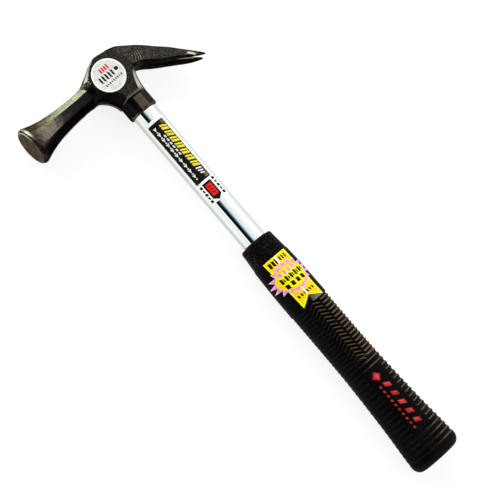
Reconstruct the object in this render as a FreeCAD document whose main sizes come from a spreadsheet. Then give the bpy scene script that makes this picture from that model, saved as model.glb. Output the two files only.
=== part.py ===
"""Claw hammer with a steel tube handle and a moulded rubber grip, lying on its side.

The frame: X runs along the handle towards the grip, Y towards the claw, Z up.
The origin is on the lower cheek, where the poll's axis crosses the handle's axis.
Each piece is drawn about the handle's axis at Z 0 and then lifted by half the cheeks' thickness.
"""
import FreeCAD, Part
import Sketcher
import math
import os

Vector = FreeCAD.Vector
ALONG_X = Vector(1, 0, 0)
UP = Vector(0, 0, 1)
RIGHT_ANGLE = 90
FULL_TURN = 360

doc = FreeCAD.newDocument("ClawHammer")
sheet = doc.addObject("Spreadsheet::Sheet", "Sizes")

SIZES = {
    # Poll: the striking end, from the handle's axis out to the face
    "poll_tilt": 3.7,
    "face_reach": 73.3,
    "face_radius": 12.0,
    "bell_radius": 13.3,
    "rim_band": 1.2,
    "rim_chamfer": 1.7,
    "neck_half": 7.2,
    "neck_start": 24.8,
    # Cheek block round the eye
    "cheek_half": 13.5,
    "crown_height": 14.9,
    "shoulder_reach": 24.8,
    "brow_reach": 17.4,
    # Collar below the cheeks, with twelve flats
    "collar_start": 19.6,
    "collar_length": 11.6,
    "collar_wall": 1.35,
    "collar_chamfer": 1.1,
    # Claw
    "claw_reach": 57.4,
    "claw_drop": 26.0,
    "claw_half": 9.2,
    "claw_tip_half": 3.8,
    "claw_tip_edge": 1.4,
    "notch_root": 24.0,
    "notch_root_radius": 0.9,
    "notch_half": 3.2,
    # Handle tube, driven through the eye and spread there by a plug
    "tube_diameter": 17.3,
    "tube_wall": 1.8,
    "tube_recess": 2.2,
    "tube_end": 309.0,
    "eye_flare": 0.5,
    "eye_flare_length": 8.0,
    "fit_gap": 0.03,
    # Rubber grip
    "grip_start": 140.0,
    "grip_length": 179.8,
    "grip_top_half_width": 11.8,
    "grip_top_half_thickness": 11.7,
    "grip_half_width": 13.9,
    "grip_proud": 0.3,
    "grip_proud_start": 154.8,
    "grip_proud_end": 192.7,
    "grip_half_thickness": 13.0,
    "grip_end_half_width": 18.4,
    "grip_end_rounding": 5.2,
    "grip_top_rounding": 1.4,
    "grip_bore_spare": 0.4,
    "grip_station_step": 12.0,
    # Grooves between the ribs of the grip: fine ones by the label, wider ones towards the end
    "groove_depth": 0.9,
    "fine_start": 193.6,
    "fine_pitch": 2.853,
    "fine_gap": 1.4,
    "fine_count": 17,
    "side_column": 3.2,
    "chevron_far": 2.4,
    "chevron_apex": -2.3,
    "chevron_near": -6.2,
    "chevron_rise": 2.4,
    "chevron_fall": 2.2,
    "wide_start": 242.5,
    "wide_pitch": 3.784,
    "wide_gap": 2.0,
    "wide_count": 19,
    "wide_side": 7.6,
    "cross_count": 2,
    "cross_side": -6.2,
    "butt_count": 4,
    "butt_side": 1.0,
    # Plug that spreads the tube in the eye
    "plug_length": 9.0,
    "plug_proud": 0.4,
    "plug_chamfer": 0.8,
    # Stuck-on labels
    "label_film": 0.15,
    "cheek_label_radius": 11.3,
    "cheek_label_reach": 6.7,
    "tube_label_start": 38.9,
    "tube_label_length": 66.4,
    "tube_label_half_angle": 50.0,
    "tube_label_turn": 9.0,
    "grip_label_start": 154.8,
    "grip_label_length": 37.9,
    "grip_label_near": -10.1,
    "grip_label_near_tip": -8.1,
    "grip_label_far": 7.4,
    "grip_label_far_tip": 8.2,
    "grip_label_fork": -0.3,
    "grip_label_tail": 5.3,
}

row = 1
for alias, size in SIZES.items():
    sheet.set(f"A{row}", alias)
    sheet.set(f"B{row}", str(size))
    sheet.setAlias(f"B{row}", alias)
    row += 1
doc.recompute()


def size(alias):
    """A driving dimension, read back from the sheet."""
    return float(sheet.get(alias))


def add(kind, name, **bound):
    """A document object whose named properties follow expressions on the sheet."""
    made = doc.addObject(kind, name)
    for prop, expression in bound.items():
        made.setExpression(prop, expression)
    return made


def feature(name, shape):
    """A document object that holds a shape made here."""
    made = doc.addObject("Part::Feature", name)
    made.Shape = shape
    return made


def curve(points):
    """One edge through the points: a line for two, otherwise a smooth curve."""
    if len(points) == 2:
        return Part.LineSegment(points[0], points[1]).toShape()
    spline = Part.BSplineCurve()
    spline.interpolate(points)
    return spline.toShape()


def closed(stretches):
    """A closed wire of stretches, each starting where the last one ends."""
    return Part.Wire([curve(stretch) for stretch in stretches])


def mirrored_z(shape):
    return shape.mirror(Vector(), UP)


# Poll frame: along the poll's axis, across it towards the grip, and up
tilt = math.radians(size("poll_tilt"))
poll_along = Vector(math.sin(tilt), -math.cos(tilt), 0)
poll_across = Vector(math.cos(tilt), math.sin(tilt), 0)


def poll_point(along, across, up=0):
    return poll_along * along + poll_across * across + UP * up


# Neck and bell: an eight-sided neck whose flats swell into a round bell
neck_half = size("neck_half")
bell_radius = size("bell_radius")
bell_end = size("face_reach") - size("rim_chamfer") - size("rim_band")
neck_start = size("neck_start")
EIGHTH = math.pi / 4
VERTEX_REACH = 1 / math.cos(EIGHTH / 2)
FLATTEST_SHARE = 0.02

# place along the bell, swelling from neck to bell radius, and roundness of the section
BELL_SHARES = (
    (0.00, 0.085, 0.0),
    (0.08, 0.03, 0.0),
    (0.22, 0.0, 0.0),
    (0.36, 0.02, 0.0),
    (0.51, 0.105, 0.1),
    (0.66, 0.25, 0.4),
    (0.81, 0.50, 0.8),
    (0.95, 0.86, 1.0),
    (1.00, 1.00, 1.0),
)
BELL_FOOT_SHARE = 0.80


def poll_section(along, half, roundness):
    """A wire of eight arcs: nearly straight where roundness is nil, a circle at one."""
    bulge = max(roundness, FLATTEST_SHARE)
    corner = half * (1 + (VERTEX_REACH - 1) * (1 - bulge))
    arcs = []
    for k in range(8):
        first = EIGHTH * (k - 0.5)
        ends = [Vector(math.cos(a) * corner, math.sin(a) * corner, 0) for a in (first, first + EIGHTH)]
        middle = Vector(math.cos(first + EIGHTH / 2) * half, math.sin(first + EIGHTH / 2) * half, 0)
        places = [poll_point(along, v.x, v.y) for v in (ends[0], middle, ends[1])]
        arcs.append(Part.Arc(*places).toShape())
    return Part.Wire(arcs)


bell_start = neck_start * BELL_FOOT_SHARE
sections = []
for place_share, swell_share, round_share in BELL_SHARES:
    along = bell_start + (bell_end - bell_start) * place_share
    half = neck_half + (bell_radius - neck_half) * swell_share
    sections.append(poll_section(along, half, round_share))
neck_and_bell = feature("neck_and_bell", Part.makeLoft(sections, True, False))

# Striking rim: a short band and a chamfer down to the flat face
poll_turn = FreeCAD.Rotation(UP, poll_along)
band = add("Part::Cylinder", "rim_band_ring", Radius="Sizes.bell_radius", Height="Sizes.rim_band")
band.Placement = FreeCAD.Placement(poll_point(bell_end, 0), poll_turn)
chamfer = add("Part::Cone", "rim_chamfer_ring", Radius1="Sizes.bell_radius", Radius2="Sizes.face_radius",
              Height="Sizes.rim_chamfer")
chamfer.Placement = FreeCAD.Placement(poll_point(bell_end + size("rim_band"), 0), poll_turn)

# Cheek block: a middle outline that carries neck, crown and collar, drawn in to the flat cheeks
cheek_half = size("cheek_half")
crown = size("crown_height")
collar_start = size("collar_start")
shoulder = size("shoulder_reach")
brow = size("brow_reach")
collar_half = size("tube_diameter") / 2 + size("collar_wall")
TWELFTH = math.pi / 6
flat_half = collar_half * math.tan(TWELFTH / 2)


def plan(x_share, y_share, up):
    """A point of the block: shares of crown height or collar start, and of shoulder or brow reach."""
    x = x_share * (collar_start if x_share > 0 else crown)
    y = y_share * (brow if y_share > 0 else shoulder)
    return Vector(x, y, up)


MIDDLE_LOWER_FLANK_SHARES = ((0.46, -0.755), (0.55, -0.61), (0.73, -0.485))
MIDDLE_INNER_CORNER_SHARES = ((0.76, 0.60), (0.53, 0.655), (0.33, 0.745), (0.225, 0.945))
MIDDLE_CROWN_SHARES = ((-0.55, 0.90), (-0.74, 0.70), (-0.905, 0.305), (-0.995, -0.04), (-1.05, -0.31))
MIDDLE_UPPER_FLANK_SHARES = ((-0.775, -0.5625), (-0.632, -0.725), (-0.507, -0.854))
NECK_TOP_SHARE = 1.055
NECK_LOW_SHARE = 1.11


def middle_outline(up):
    lift = UP * up
    neck_top = poll_point(neck_start, -neck_half * NECK_TOP_SHARE) + lift
    neck_low = poll_point(neck_start, neck_half * NECK_LOW_SHARE) + lift
    collar_left = Vector(collar_start, -collar_half, up)
    collar_right = Vector(collar_start, collar_half, up)
    lower = [plan(x, y, up) for x, y in MIDDLE_LOWER_FLANK_SHARES]
    inner = [plan(x, y, up) for x, y in MIDDLE_INNER_CORNER_SHARES]
    top = [plan(x, y, up) for x, y in MIDDLE_CROWN_SHARES]
    upper = [plan(x, y, up) for x, y in MIDDLE_UPPER_FLANK_SHARES]
    return closed([
        [neck_top, neck_low],
        [neck_low] + lower + [collar_left],
        [collar_left, collar_right],
        [collar_right] + inner,
        [inner[-1], top[0]],
        top,
        [top[-1]] + upper + [neck_top],
    ])


CHEEK_NOSE_SHARES = ((-0.385, -0.75), (0.0, -0.80), (0.255, -0.74))
CHEEK_LOWER_FLANK_SHARES = ((0.37, -0.63), (0.505, -0.495), (0.67, -0.385), (1.0, -0.29))
CHEEK_RIGHT_SHARES = ((1.0, 0.13), (0.704, 0.235), (0.44, 0.37), (0.22, 0.62))
CHEEK_CROWN_SHARES = ((-0.80, 0.40), (-0.94, 0.05), (-0.985, -0.33))
CHEEK_UPPER_FLANK_SHARES = ((-0.843, -0.471), (-0.55, -0.667))


def cheek_outline(up):
    nose = [plan(x, y, up) for x, y in CHEEK_NOSE_SHARES]
    lower = [plan(x, y, up) for x, y in CHEEK_LOWER_FLANK_SHARES]
    right = [plan(x, y, up) for x, y in CHEEK_RIGHT_SHARES]
    top = [plan(x, y, up) for x, y in CHEEK_CROWN_SHARES]
    upper = [plan(x, y, up) for x, y in CHEEK_UPPER_FLANK_SHARES]
    return closed([
        nose,
        [nose[-1]] + lower,
        [lower[-1], right[0]],
        right,
        [right[-1], top[0]],
        top,
        [top[-1]] + upper + [nose[0]],
    ])


slab = Part.Face(middle_outline(-flat_half)).extrude(UP * 2 * flat_half)
upper_cheek = Part.makeLoft([middle_outline(flat_half), cheek_outline(cheek_half)], True, True)
block = feature("cheek_block", slab.fuse([upper_cheek, mirrored_z(upper_cheek)]).removeSplitter())

# Claw: a side profile as thick as the cheeks, thinned to its plan and split by the notch
claw_reach = size("claw_reach")
claw_drop = size("claw_drop")
claw_half = size("claw_half")
tip_edge = size("claw_tip_edge")
CLAW_TOP_SHARES = ((-0.552, 0.026), (-0.521, 0.099), (-0.4785, 0.1725), (-0.41, 0.239),
                   (-0.329, 0.307), (-0.164, 0.423), (0.0705, 0.544), (0.302, 0.671),
                   (0.539, 0.7875), (0.765, 0.904))
CLAW_UNDER_SHARES = ((0.908, 0.871), (0.733, 0.732), (0.552, 0.592), (0.377, 0.453),
                     (0.192, 0.314), (0.143, 0.2265), (0.112, 0.14))


def claw_place(x_share, y_share):
    return Vector(x_share * claw_drop, y_share * claw_reach, -cheek_half)


tip_top = Vector(claw_drop - tip_edge, claw_reach, -cheek_half)
tip_low = Vector(claw_drop, claw_reach - tip_edge / 2, -cheek_half)
claw_top = [claw_place(x, y) for x, y in CLAW_TOP_SHARES] + [tip_top]
claw_under = [tip_low] + [claw_place(x, y) for x, y in CLAW_UNDER_SHARES]
claw_profile = closed([claw_top, [tip_top, tip_low], claw_under, [claw_under[-1], claw_top[0]]])
claw_slab = feature("claw_profile", Part.Face(claw_profile).extrude(UP * 2 * cheek_half))

claw_depth = 2 * crown + claw_drop
tip_half = size("claw_tip_half")
# place out to the tip, and half thickness as shares of claw_half and of what the cheek adds to it
CLAW_SIDE_SHARES = ((0.10, 1.0, 1.0), (0.16, 1.0, 0.86), (0.225, 1.0, 0.55), (0.31, 1.0, 0.26),
                    (0.42, 1.0, 0.07), (0.55, 1.0, 0.0), (0.67, 0.99, 0.0), (0.80, 0.90, 0.0),
                    (0.906, 0.69, 0.0))


def plan_place(y, z):
    return Vector(-2 * crown, y, z)


side = []
for place_share, thick_share, cheek_share in CLAW_SIDE_SHARES:
    half = claw_half * thick_share + (cheek_half - claw_half) * cheek_share
    side.append(plan_place(place_share * claw_reach, half))
side.append(plan_place(claw_reach, tip_half))
other_side = [Vector(v.x, v.y, -v.z) for v in reversed(side)]
root_corner = plan_place(0, cheek_half)
other_root_corner = plan_place(0, -cheek_half)
claw_plan = closed([
    [root_corner, side[0]],
    side,
    [side[-1], other_side[0]],
    other_side,
    [other_side[-1], other_root_corner],
    [other_root_corner, root_corner],
])
claw_trim = feature("claw_plan", Part.Face(claw_plan).extrude(ALONG_X * claw_depth))
claw = doc.addObject("Part::MultiCommon", "claw_blank")
claw.Shapes = [claw_slab, claw_trim]

notch_root = size("notch_root")
root_radius = size("notch_root_radius")
notch_half = size("notch_half")
NOTCH_MOUTH_SHARE = 1.1
NOTCH_WIDE_SHARE = 0.66
notch_mouth = claw_reach * NOTCH_MOUTH_SHARE
notch_wide = claw_reach * NOTCH_WIDE_SHARE
notch_edge = [plan_place(notch_root + root_radius, root_radius), plan_place(notch_wide, notch_half),
              plan_place(notch_mouth, notch_half)]
notch_other = [Vector(v.x, v.y, -v.z) for v in reversed(notch_edge)]
notch_wire = Part.Wire([
    curve(notch_edge[:2]),
    curve(notch_edge[1:]),
    curve([notch_edge[-1], notch_other[0]]),
    curve(notch_other[:2]),
    curve(notch_other[1:]),
    Part.Arc(notch_other[-1], plan_place(notch_root, 0), notch_edge[0]).toShape(),
])
notch = feature("claw_notch", Part.Face(notch_wire).extrude(ALONG_X * claw_depth))

# Collar: twelve flats, turned to a chamfer at its lower end
COLLAR_SIDES = 12
HALF_FACET = FULL_TURN / COLLAR_SIDES / 2
collar_corner = f"(Sizes.tube_diameter / 2 + Sizes.collar_wall) / cos({HALF_FACET} deg)"
collar_root_share = 0.5
collar_prism = add("Part::Prism", "collar_prism", Circumradius=collar_corner,
                   Height=f"Sizes.collar_start * {collar_root_share} + Sizes.collar_length")
collar_prism.Polygon = COLLAR_SIDES
to_handle = FreeCAD.Rotation(UP, ALONG_X)
half_facet = FreeCAD.Rotation(UP, HALF_FACET)
collar_prism.Placement = FreeCAD.Placement(Vector(collar_start * (1 - collar_root_share), 0, 0),
                                           to_handle.multiply(half_facet))
collar_end = collar_start + size("collar_length")
collar_corner_radius = collar_half / math.cos(TWELFTH / 2)
collar_chamfer = size("collar_chamfer")
turned_profile = Part.makePolygon([
    Vector(0, 0, 0),
    Vector(0, 0, collar_corner_radius * 2),
    Vector(collar_end - collar_chamfer, 0, collar_corner_radius),
    Vector(collar_end, 0, collar_corner_radius - collar_chamfer),
    Vector(collar_end, 0, 0),
    Vector(0, 0, 0),
])
collar_turning = feature("collar_turning", Part.Face(turned_profile).revolve(Vector(), ALONG_X, FULL_TURN))
collar = doc.addObject("Part::MultiCommon", "collar_blank")
collar.Shapes = [collar_prism, collar_turning]

# Head: the forged blank with the eye bored through it and flared at the crown
blank = doc.addObject("Part::MultiFuse", "head_blank")
blank.Shapes = [neck_and_bell, band, chamfer, block, claw, collar]
blank.Refine = True
split_blank = doc.addObject("Part::Cut", "split_blank")
split_blank.Base = blank
split_blank.Tool = notch
eye_radius = size("tube_diameter") / 2 + size("fit_gap")
flare = size("eye_flare")
flare_length = size("eye_flare_length")
flare_rate = flare / flare_length
EYE_OVERRUN_SHARE = 1.15
eye_top = -crown * EYE_OVERRUN_SHARE
eye_foot = collar_end * EYE_OVERRUN_SHARE
eye_profile = Part.makePolygon([
    Vector(eye_top, 0, 0),
    Vector(eye_top, 0, eye_radius + flare - flare_rate * (eye_top + crown)),
    Vector(flare_length - crown, 0, eye_radius),
    Vector(eye_foot, 0, eye_radius),
    Vector(eye_foot, 0, 0),
    Vector(eye_top, 0, 0),
])
eye = feature("eye_bore", Part.Face(eye_profile).revolve(Vector(), ALONG_X, FULL_TURN))
head = doc.addObject("Part::Cut", "head")
head.Base = split_blank
head.Tool = eye


def turned(name, corners):
    """A body turned about the handle's axis; a corner is (x, radius, expression for x, for radius)."""
    body = doc.addObject("PartDesign::Body", name)
    sketch = body.newObject("Sketcher::SketchObject", name + "_profile")
    plane = [f for f in body.Origin.OriginFeatures if f.Role == "XY_Plane"][0]
    sketch.AttachmentSupport = [(plane, "")]
    sketch.MapMode = "FlatFace"
    places = [Vector(x, radius, 0) for x, radius, _, _ in corners]
    for k, place in enumerate(places):
        following = places[(k + 1) % len(places)]
        sketch.addGeometry(Part.LineSegment(place, following), False)
    for k, (_, _, x_size, radius_size) in enumerate(corners):
        before = (k - 1) % len(corners)
        sketch.addConstraint(Sketcher.Constraint("Coincident", before, 2, k, 1))
        for way, start, wanted in (("DistanceX", places[k].x, x_size), ("DistanceY", places[k].y, radius_size)):
            made = sketch.addConstraint(Sketcher.Constraint(way, -1, 1, k, 1, start))
            sketch.setExpression(f"Constraints[{made}]", wanted)
    turning = body.newObject("PartDesign::Revolution", name + "_turning")
    turning.Profile = sketch
    turning.ReferenceAxis = (sketch, ["H_Axis"])
    turning.Angle = FULL_TURN
    body.Tip = turning
    return body


# Handle tube: its upper end follows the flare of the eye
tube_radius = size("tube_diameter") / 2
tube_bore = tube_radius - size("tube_wall")
tube_top = size("tube_recess") - crown
flare_start = flare_length - crown
flared = flare_rate * (flare_start - tube_top)
FLARE_START = "Sizes.eye_flare_length - Sizes.crown_height"
TUBE_TOP = "Sizes.tube_recess - Sizes.crown_height"
TUBE_RADIUS = "Sizes.tube_diameter / 2"
TUBE_BORE = "Sizes.tube_diameter / 2 - Sizes.tube_wall"
FLARED = "Sizes.eye_flare * (1 - Sizes.tube_recess / Sizes.eye_flare_length)"
tube = turned("handle_tube", (
    (tube_top, tube_bore + flared, TUBE_TOP, f"{TUBE_BORE} + {FLARED}"),
    (tube_top, tube_radius + flared, TUBE_TOP, f"{TUBE_RADIUS} + {FLARED}"),
    (flare_start, tube_radius, FLARE_START, TUBE_RADIUS),
    (size("tube_end"), tube_radius, "Sizes.tube_end", TUBE_RADIUS),
    (size("tube_end"), tube_bore, "Sizes.tube_end", TUBE_BORE),
    (flare_start, tube_bore, FLARE_START, TUBE_BORE),
))

# Eye plug: a taper driven into the tube's mouth, a little proud of it
gap = size("fit_gap")
plug_top = tube_top - size("plug_proud")
plug_end = plug_top + size("plug_length")
plug_chamfer = size("plug_chamfer")
PLUG_TOP = f"{TUBE_TOP} - Sizes.plug_proud"
PLUG_END = f"{PLUG_TOP} + Sizes.plug_length"
plug = turned("eye_plug", (
    (plug_top, 0, PLUG_TOP, "0"),
    (plug_top, tube_bore + flared - gap - plug_chamfer, PLUG_TOP,
     f"{TUBE_BORE} + {FLARED} - Sizes.fit_gap - Sizes.plug_chamfer"),
    (tube_top, tube_bore + flared - gap, TUBE_TOP, f"{TUBE_BORE} + {FLARED} - Sizes.fit_gap"),
    (flare_start, tube_bore - gap, FLARE_START, f"{TUBE_BORE} - Sizes.fit_gap"),
    (plug_end, tube_bore - gap, PLUG_END, f"{TUBE_BORE} - Sizes.fit_gap"),
    (plug_end, 0, PLUG_END, "0"),
))

# Grip: ovals along the handle, widening to the butt, with a rounded edge at both ends
grip_start = size("grip_start")
grip_length = size("grip_length")
grip_end = grip_start + grip_length
top_b = size("grip_top_half_width")
top_c = size("grip_top_half_thickness")
mid_b = size("grip_half_width")
mid_c = size("grip_half_thickness")
end_b = size("grip_end_half_width")
end_rounding = size("grip_end_rounding")
top_rounding = size("grip_top_rounding")
station_step = size("grip_station_step")

# place along the grip, share of the width from top to middle, and of the width from middle to end
GRIP_SHARES = (
    (0.012, 0.00, 0.00),
    (0.035, 0.20, 0.00),
    (0.060, 0.42, 0.00),
    (0.095, 0.62, 0.00),
    (0.130, 0.77, 0.00),
    (0.200, 0.93, 0.00),
    (0.290, 1.00, 0.00),
    (0.450, 1.00, 0.00),
    (0.580, 1.00, 0.05),
    (0.694, 1.00, 0.25),
    (0.806, 1.00, 0.50),
    (0.884, 1.00, 0.76),
    (0.935, 1.00, 0.94),
    (0.966, 1.00, 1.00),
)
END_THICKNESS_SHARE = 0.02
ROUNDING_TURNS = (0, 25, 50, 70, RIGHT_ANGLE)
OVAL_SIDES = 32
FLOOR_SIDES = 16


def between(low, high, share):
    return low + (high - low) * share


def grip_halves(x):
    """Half width and half thickness of the plain grip at x, between the shares listed above."""
    place = (x - grip_start) / grip_length
    for before, after in zip(GRIP_SHARES, GRIP_SHARES[1:]):
        if place <= after[0]:
            break
    way = (place - before[0]) / (after[0] - before[0])
    middle_share = between(before[1], after[1], way)
    end_share = between(before[2], after[2], way)
    b = between(top_b, mid_b, middle_share) + (end_b - mid_b) * end_share
    c = between(top_c, mid_c, middle_share) + mid_c * END_THICKNESS_SHARE * end_share
    return b, c


def oval(x, b, c, sides=OVAL_SIDES):
    """A closed many-sided wire across the handle, with its corners on an ellipse."""
    turns = [2 * math.pi * k / sides for k in range(sides + 1)]
    return Part.makePolygon([Vector(x, b * math.cos(turn), c * math.sin(turn)) for turn in turns])


def sleeve(x_from, x_to, offset):
    """A stretch of the grip's outside, moved out by the offset."""
    stretches = max(2, round((x_to - x_from) / station_step))
    ovals = []
    for k in range(stretches + 1):
        x = between(x_from, x_to, k / stretches)
        b, c = grip_halves(x)
        ovals.append(oval(x, b + offset, c + offset))
    return Part.makeLoft(ovals, True, True)


def rounded_end(x, outwards, reach, rounding):
    """The grip's end from x outwards, with its edge rounded off."""
    b, c = grip_halves(x)
    ovals = []
    for turn in ROUNDING_TURNS:
        inset = rounding * (1 - math.cos(math.radians(turn)))
        ovals.append(oval(x + outwards * reach * math.sin(math.radians(turn)), b - inset, c - inset))
    return Part.makeLoft(ovals, True, True)


first_x = grip_start + grip_length * GRIP_SHARES[0][0]
last_x = grip_start + grip_length * GRIP_SHARES[-1][0]
proud_start = size("grip_proud_start")
proud_end = size("grip_proud_end")
proud = size("grip_proud")
grip_parts = [
    rounded_end(first_x, -1, first_x - grip_start, top_rounding),
    sleeve(first_x, proud_start, 0),
    sleeve(proud_start, proud_end, proud),
    sleeve(proud_end, last_x, 0),
    rounded_end(last_x, 1, grip_end - last_x, end_rounding),
]
grip_outside = feature("grip_outside", grip_parts[0].fuse(grip_parts[1:]))
grip_bore = add("Part::Cylinder", "grip_bore", Radius="Sizes.tube_diameter / 2 + Sizes.fit_gap",
                Height="Sizes.tube_end - Sizes.grip_start + 2 * Sizes.grip_bore_spare")
grip_bore.Placement = FreeCAD.Placement(Vector(grip_start - size("grip_bore_spare"), 0, 0),
                                        FreeCAD.Rotation(UP, ALONG_X))

# Grooves: cut to one depth all round, straight on the claw side and slanted to chevrons beside it
groove_depth = size("groove_depth")
beyond = end_b * 2


def groove(x, width, y_from, y_to, shift=0):
    """A bar across the grip from x at y_from to x + shift at y_to, less the rubber under its floor."""
    outline = Part.makePolygon([
        Vector(x - width / 2, y_from, -beyond),
        Vector(x + width / 2, y_from, -beyond),
        Vector(x + width / 2 + shift, y_to, -beyond),
        Vector(x - width / 2 + shift, y_to, -beyond),
        Vector(x - width / 2, y_from, -beyond),
    ])
    bar = Part.Face(outline).extrude(UP * 2 * beyond)
    b, c = grip_halves(x + shift / 2)
    reach = width + abs(shift)
    floor = oval(x - reach, b - groove_depth, c - groove_depth, FLOOR_SIDES)
    return bar.cut(Part.Face(floor).extrude(ALONG_X * 2 * reach))


fine_gap = size("fine_gap")
wide_gap = size("wide_gap")
side_column = size("side_column")
chevron_far = size("chevron_far")
apex = size("chevron_apex")
rise = size("chevron_rise")
bars = []
for k in range(int(size("fine_count"))):
    x = size("fine_start") + size("fine_pitch") * k
    half_pitch = size("fine_pitch") / 2
    bars.append(groove(x, fine_gap, side_column, beyond))
    bars.append(groove(x + half_pitch, fine_gap, chevron_far, apex, -rise))
    bars.append(groove(x + half_pitch - rise, fine_gap, apex, size("chevron_near"), size("chevron_fall")))
wide_count = int(size("wide_count"))
cross_count = int(size("cross_count"))
butt_count = int(size("butt_count"))
for k in range(wide_count):
    y_from = size("wide_side")
    if k < cross_count:
        y_from = size("cross_side")
    if k >= wide_count - butt_count:
        y_from = size("butt_side")
    bars.append(groove(size("wide_start") + size("wide_pitch") * k, wide_gap, y_from, beyond))

grooves = feature("grip_grooves", Part.makeCompound(bars))
grip_sleeve = doc.addObject("Part::Cut", "grip_sleeve")
grip_sleeve.Base = grip_outside
grip_sleeve.Tool = grip_bore
grip = doc.addObject("Part::Cut", "grip")
grip.Base = grip_sleeve
grip.Tool = grooves

# Cheek label: a round sticker on the upper cheek
cheek_label = add("Part::Cylinder", "cheek_label", Radius="Sizes.cheek_label_radius",
                  Height="Sizes.label_film")
cheek_label.setExpression("Placement.Base.y", "-Sizes.cheek_label_reach")

# Tube label: a film wrapped over the upper side of the tube
film = size("label_film")
label_turn = size("tube_label_turn")
label_half_angle = size("tube_label_half_angle")
label_outer = add("Part::Cylinder", "tube_label_outside", Radius="Sizes.tube_diameter / 2 + Sizes.label_film",
                  Height="Sizes.tube_label_length", Angle="2 * Sizes.tube_label_half_angle")
label_inner = add("Part::Cylinder", "tube_label_inside", Radius="Sizes.tube_diameter / 2",
                  Height="Sizes.tube_label_length")
label_place = Vector(size("tube_label_start"), 0, 0)
first_edge = math.radians(RIGHT_ANGLE - label_half_angle + label_turn)
to_first_edge = Vector(0, math.cos(first_edge), math.sin(first_edge))
wrap = FreeCAD.Rotation(to_first_edge, ALONG_X.cross(to_first_edge), ALONG_X, "ZXY")
label_outer.Placement = FreeCAD.Placement(label_place, wrap)
label_inner.Placement = FreeCAD.Placement(label_place, wrap)
tube_label = doc.addObject("Part::Cut", "tube_label")
tube_label.Base = label_outer
tube_label.Tool = label_inner

# Grip label: a film on the smooth zone, with a swallow tail towards the ribs
label_start = size("grip_label_start")
label_end = label_start + size("grip_label_length")
tail = size("grip_label_tail")
swallow = Part.makePolygon([
    Vector(label_start, size("grip_label_near"), 0),
    Vector(label_end, size("grip_label_near_tip"), 0),
    Vector(label_end - tail, size("grip_label_fork"), 0),
    Vector(label_end, size("grip_label_far_tip"), 0),
    Vector(label_start, size("grip_label_far"), 0),
    Vector(label_start, size("grip_label_near"), 0),
])
swallow_prism = feature("grip_label_outline", Part.Face(swallow).extrude(UP * mid_c * 2))
label_skin = feature("grip_label_skin", sleeve(proud_start, label_end, proud + film))
skin_only = doc.addObject("Part::Cut", "grip_label_film")
skin_only.Base = label_skin
skin_only.Tool = grip_outside
grip_label = doc.addObject("Part::MultiCommon", "grip_label")
grip_label.Shapes = [skin_only, swallow_prism]

doc.recompute()

# Every piece is lifted so that the lower cheek lies at Z 0
PIECES = {
    "head": (head, "Sizes.cheek_half"),
    "handle_tube": (tube, "Sizes.cheek_half"),
    "eye_plug": (plug, "Sizes.cheek_half"),
    "grip": (grip, "Sizes.cheek_half"),
    "cheek_label": (cheek_label, "2 * Sizes.cheek_half"),
    "tube_label": (tube_label, "Sizes.cheek_half"),
    "grip_label": (grip_label, "Sizes.cheek_half"),
}
for name, (piece, lift) in PIECES.items():
    piece.Label = name
    piece.setExpression("Placement.Base.z", lift)
doc.recompute()

for made in doc.Objects:
    if "Invalid" in made.State or "Error" in made.State:
        raise RuntimeError(f"{made.Name} did not compute: {made.State}")

os.makedirs("parts", exist_ok=True)
for name, (piece, _) in PIECES.items():
    shape = piece.Shape
    if shape.isNull() or not shape.isValid() or not shape.Solids:
        raise RuntimeError(f"{name} has no sound solid")
    shape.exportStep(f"parts/{name}.step")
    box = shape.BoundBox
    print(name, len(shape.Solids), "solid,", round(shape.Volume), "mm3, box",
          [round(v, 2) for v in (box.XMin, box.XMax, box.YMin, box.YMax, box.ZMin, box.ZMax)])
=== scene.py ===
"""Looks of the claw hammer: black forged head, chromed tube, ribbed black rubber grip, stickers."""
import math

import bmesh
import bpy
import numpy as np
from mathutils import Matrix, Vector
from mathutils.geometry import delaunay_2d_cdt


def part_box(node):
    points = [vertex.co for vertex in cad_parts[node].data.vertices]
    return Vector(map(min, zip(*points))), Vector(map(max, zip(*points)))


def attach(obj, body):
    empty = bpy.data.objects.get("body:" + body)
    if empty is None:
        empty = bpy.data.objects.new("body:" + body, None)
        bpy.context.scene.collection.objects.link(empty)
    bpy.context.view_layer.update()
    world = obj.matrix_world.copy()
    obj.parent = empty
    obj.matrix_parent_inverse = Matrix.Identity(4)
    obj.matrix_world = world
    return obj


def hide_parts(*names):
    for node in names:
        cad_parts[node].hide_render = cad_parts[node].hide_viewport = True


MM = 0.001
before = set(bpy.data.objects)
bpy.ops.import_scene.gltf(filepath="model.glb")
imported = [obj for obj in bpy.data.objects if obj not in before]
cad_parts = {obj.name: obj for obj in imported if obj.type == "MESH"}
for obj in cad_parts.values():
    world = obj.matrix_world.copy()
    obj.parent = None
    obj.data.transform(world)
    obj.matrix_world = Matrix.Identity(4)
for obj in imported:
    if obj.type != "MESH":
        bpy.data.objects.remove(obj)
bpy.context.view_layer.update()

# Places read from the frame: the handle's axis is halfway up the cheeks
AXIS_UP = (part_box("head")[0].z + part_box("head")[1].z) / 2
TUBE_LOW, TUBE_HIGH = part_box("handle_tube")
GRIP_LOW, GRIP_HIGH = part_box("grip")
CHEEK_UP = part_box("cheek_label")[0].z

# Numbers are mm in the part's frame; what is read from the frame or times MM is in metres


def smoothstep(low, high, value):
    """0 below low, 1 above high, and a smooth step between; works on arrays."""
    share = np.clip((value - low) / (high - low), 0, 1)
    return share * share * (3 - 2 * share)


def grey(value):
    return (value, value, value, 1.0)


def colour(red, green, blue):
    """A linear colour from display values of 0 to 255."""
    def linear(v):
        v = v / 255
        return v / 12.92 if v <= 0.04045 else ((v + 0.055) / 1.055) ** 2.4
    return (linear(red), linear(green), linear(blue), 1.0)


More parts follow.
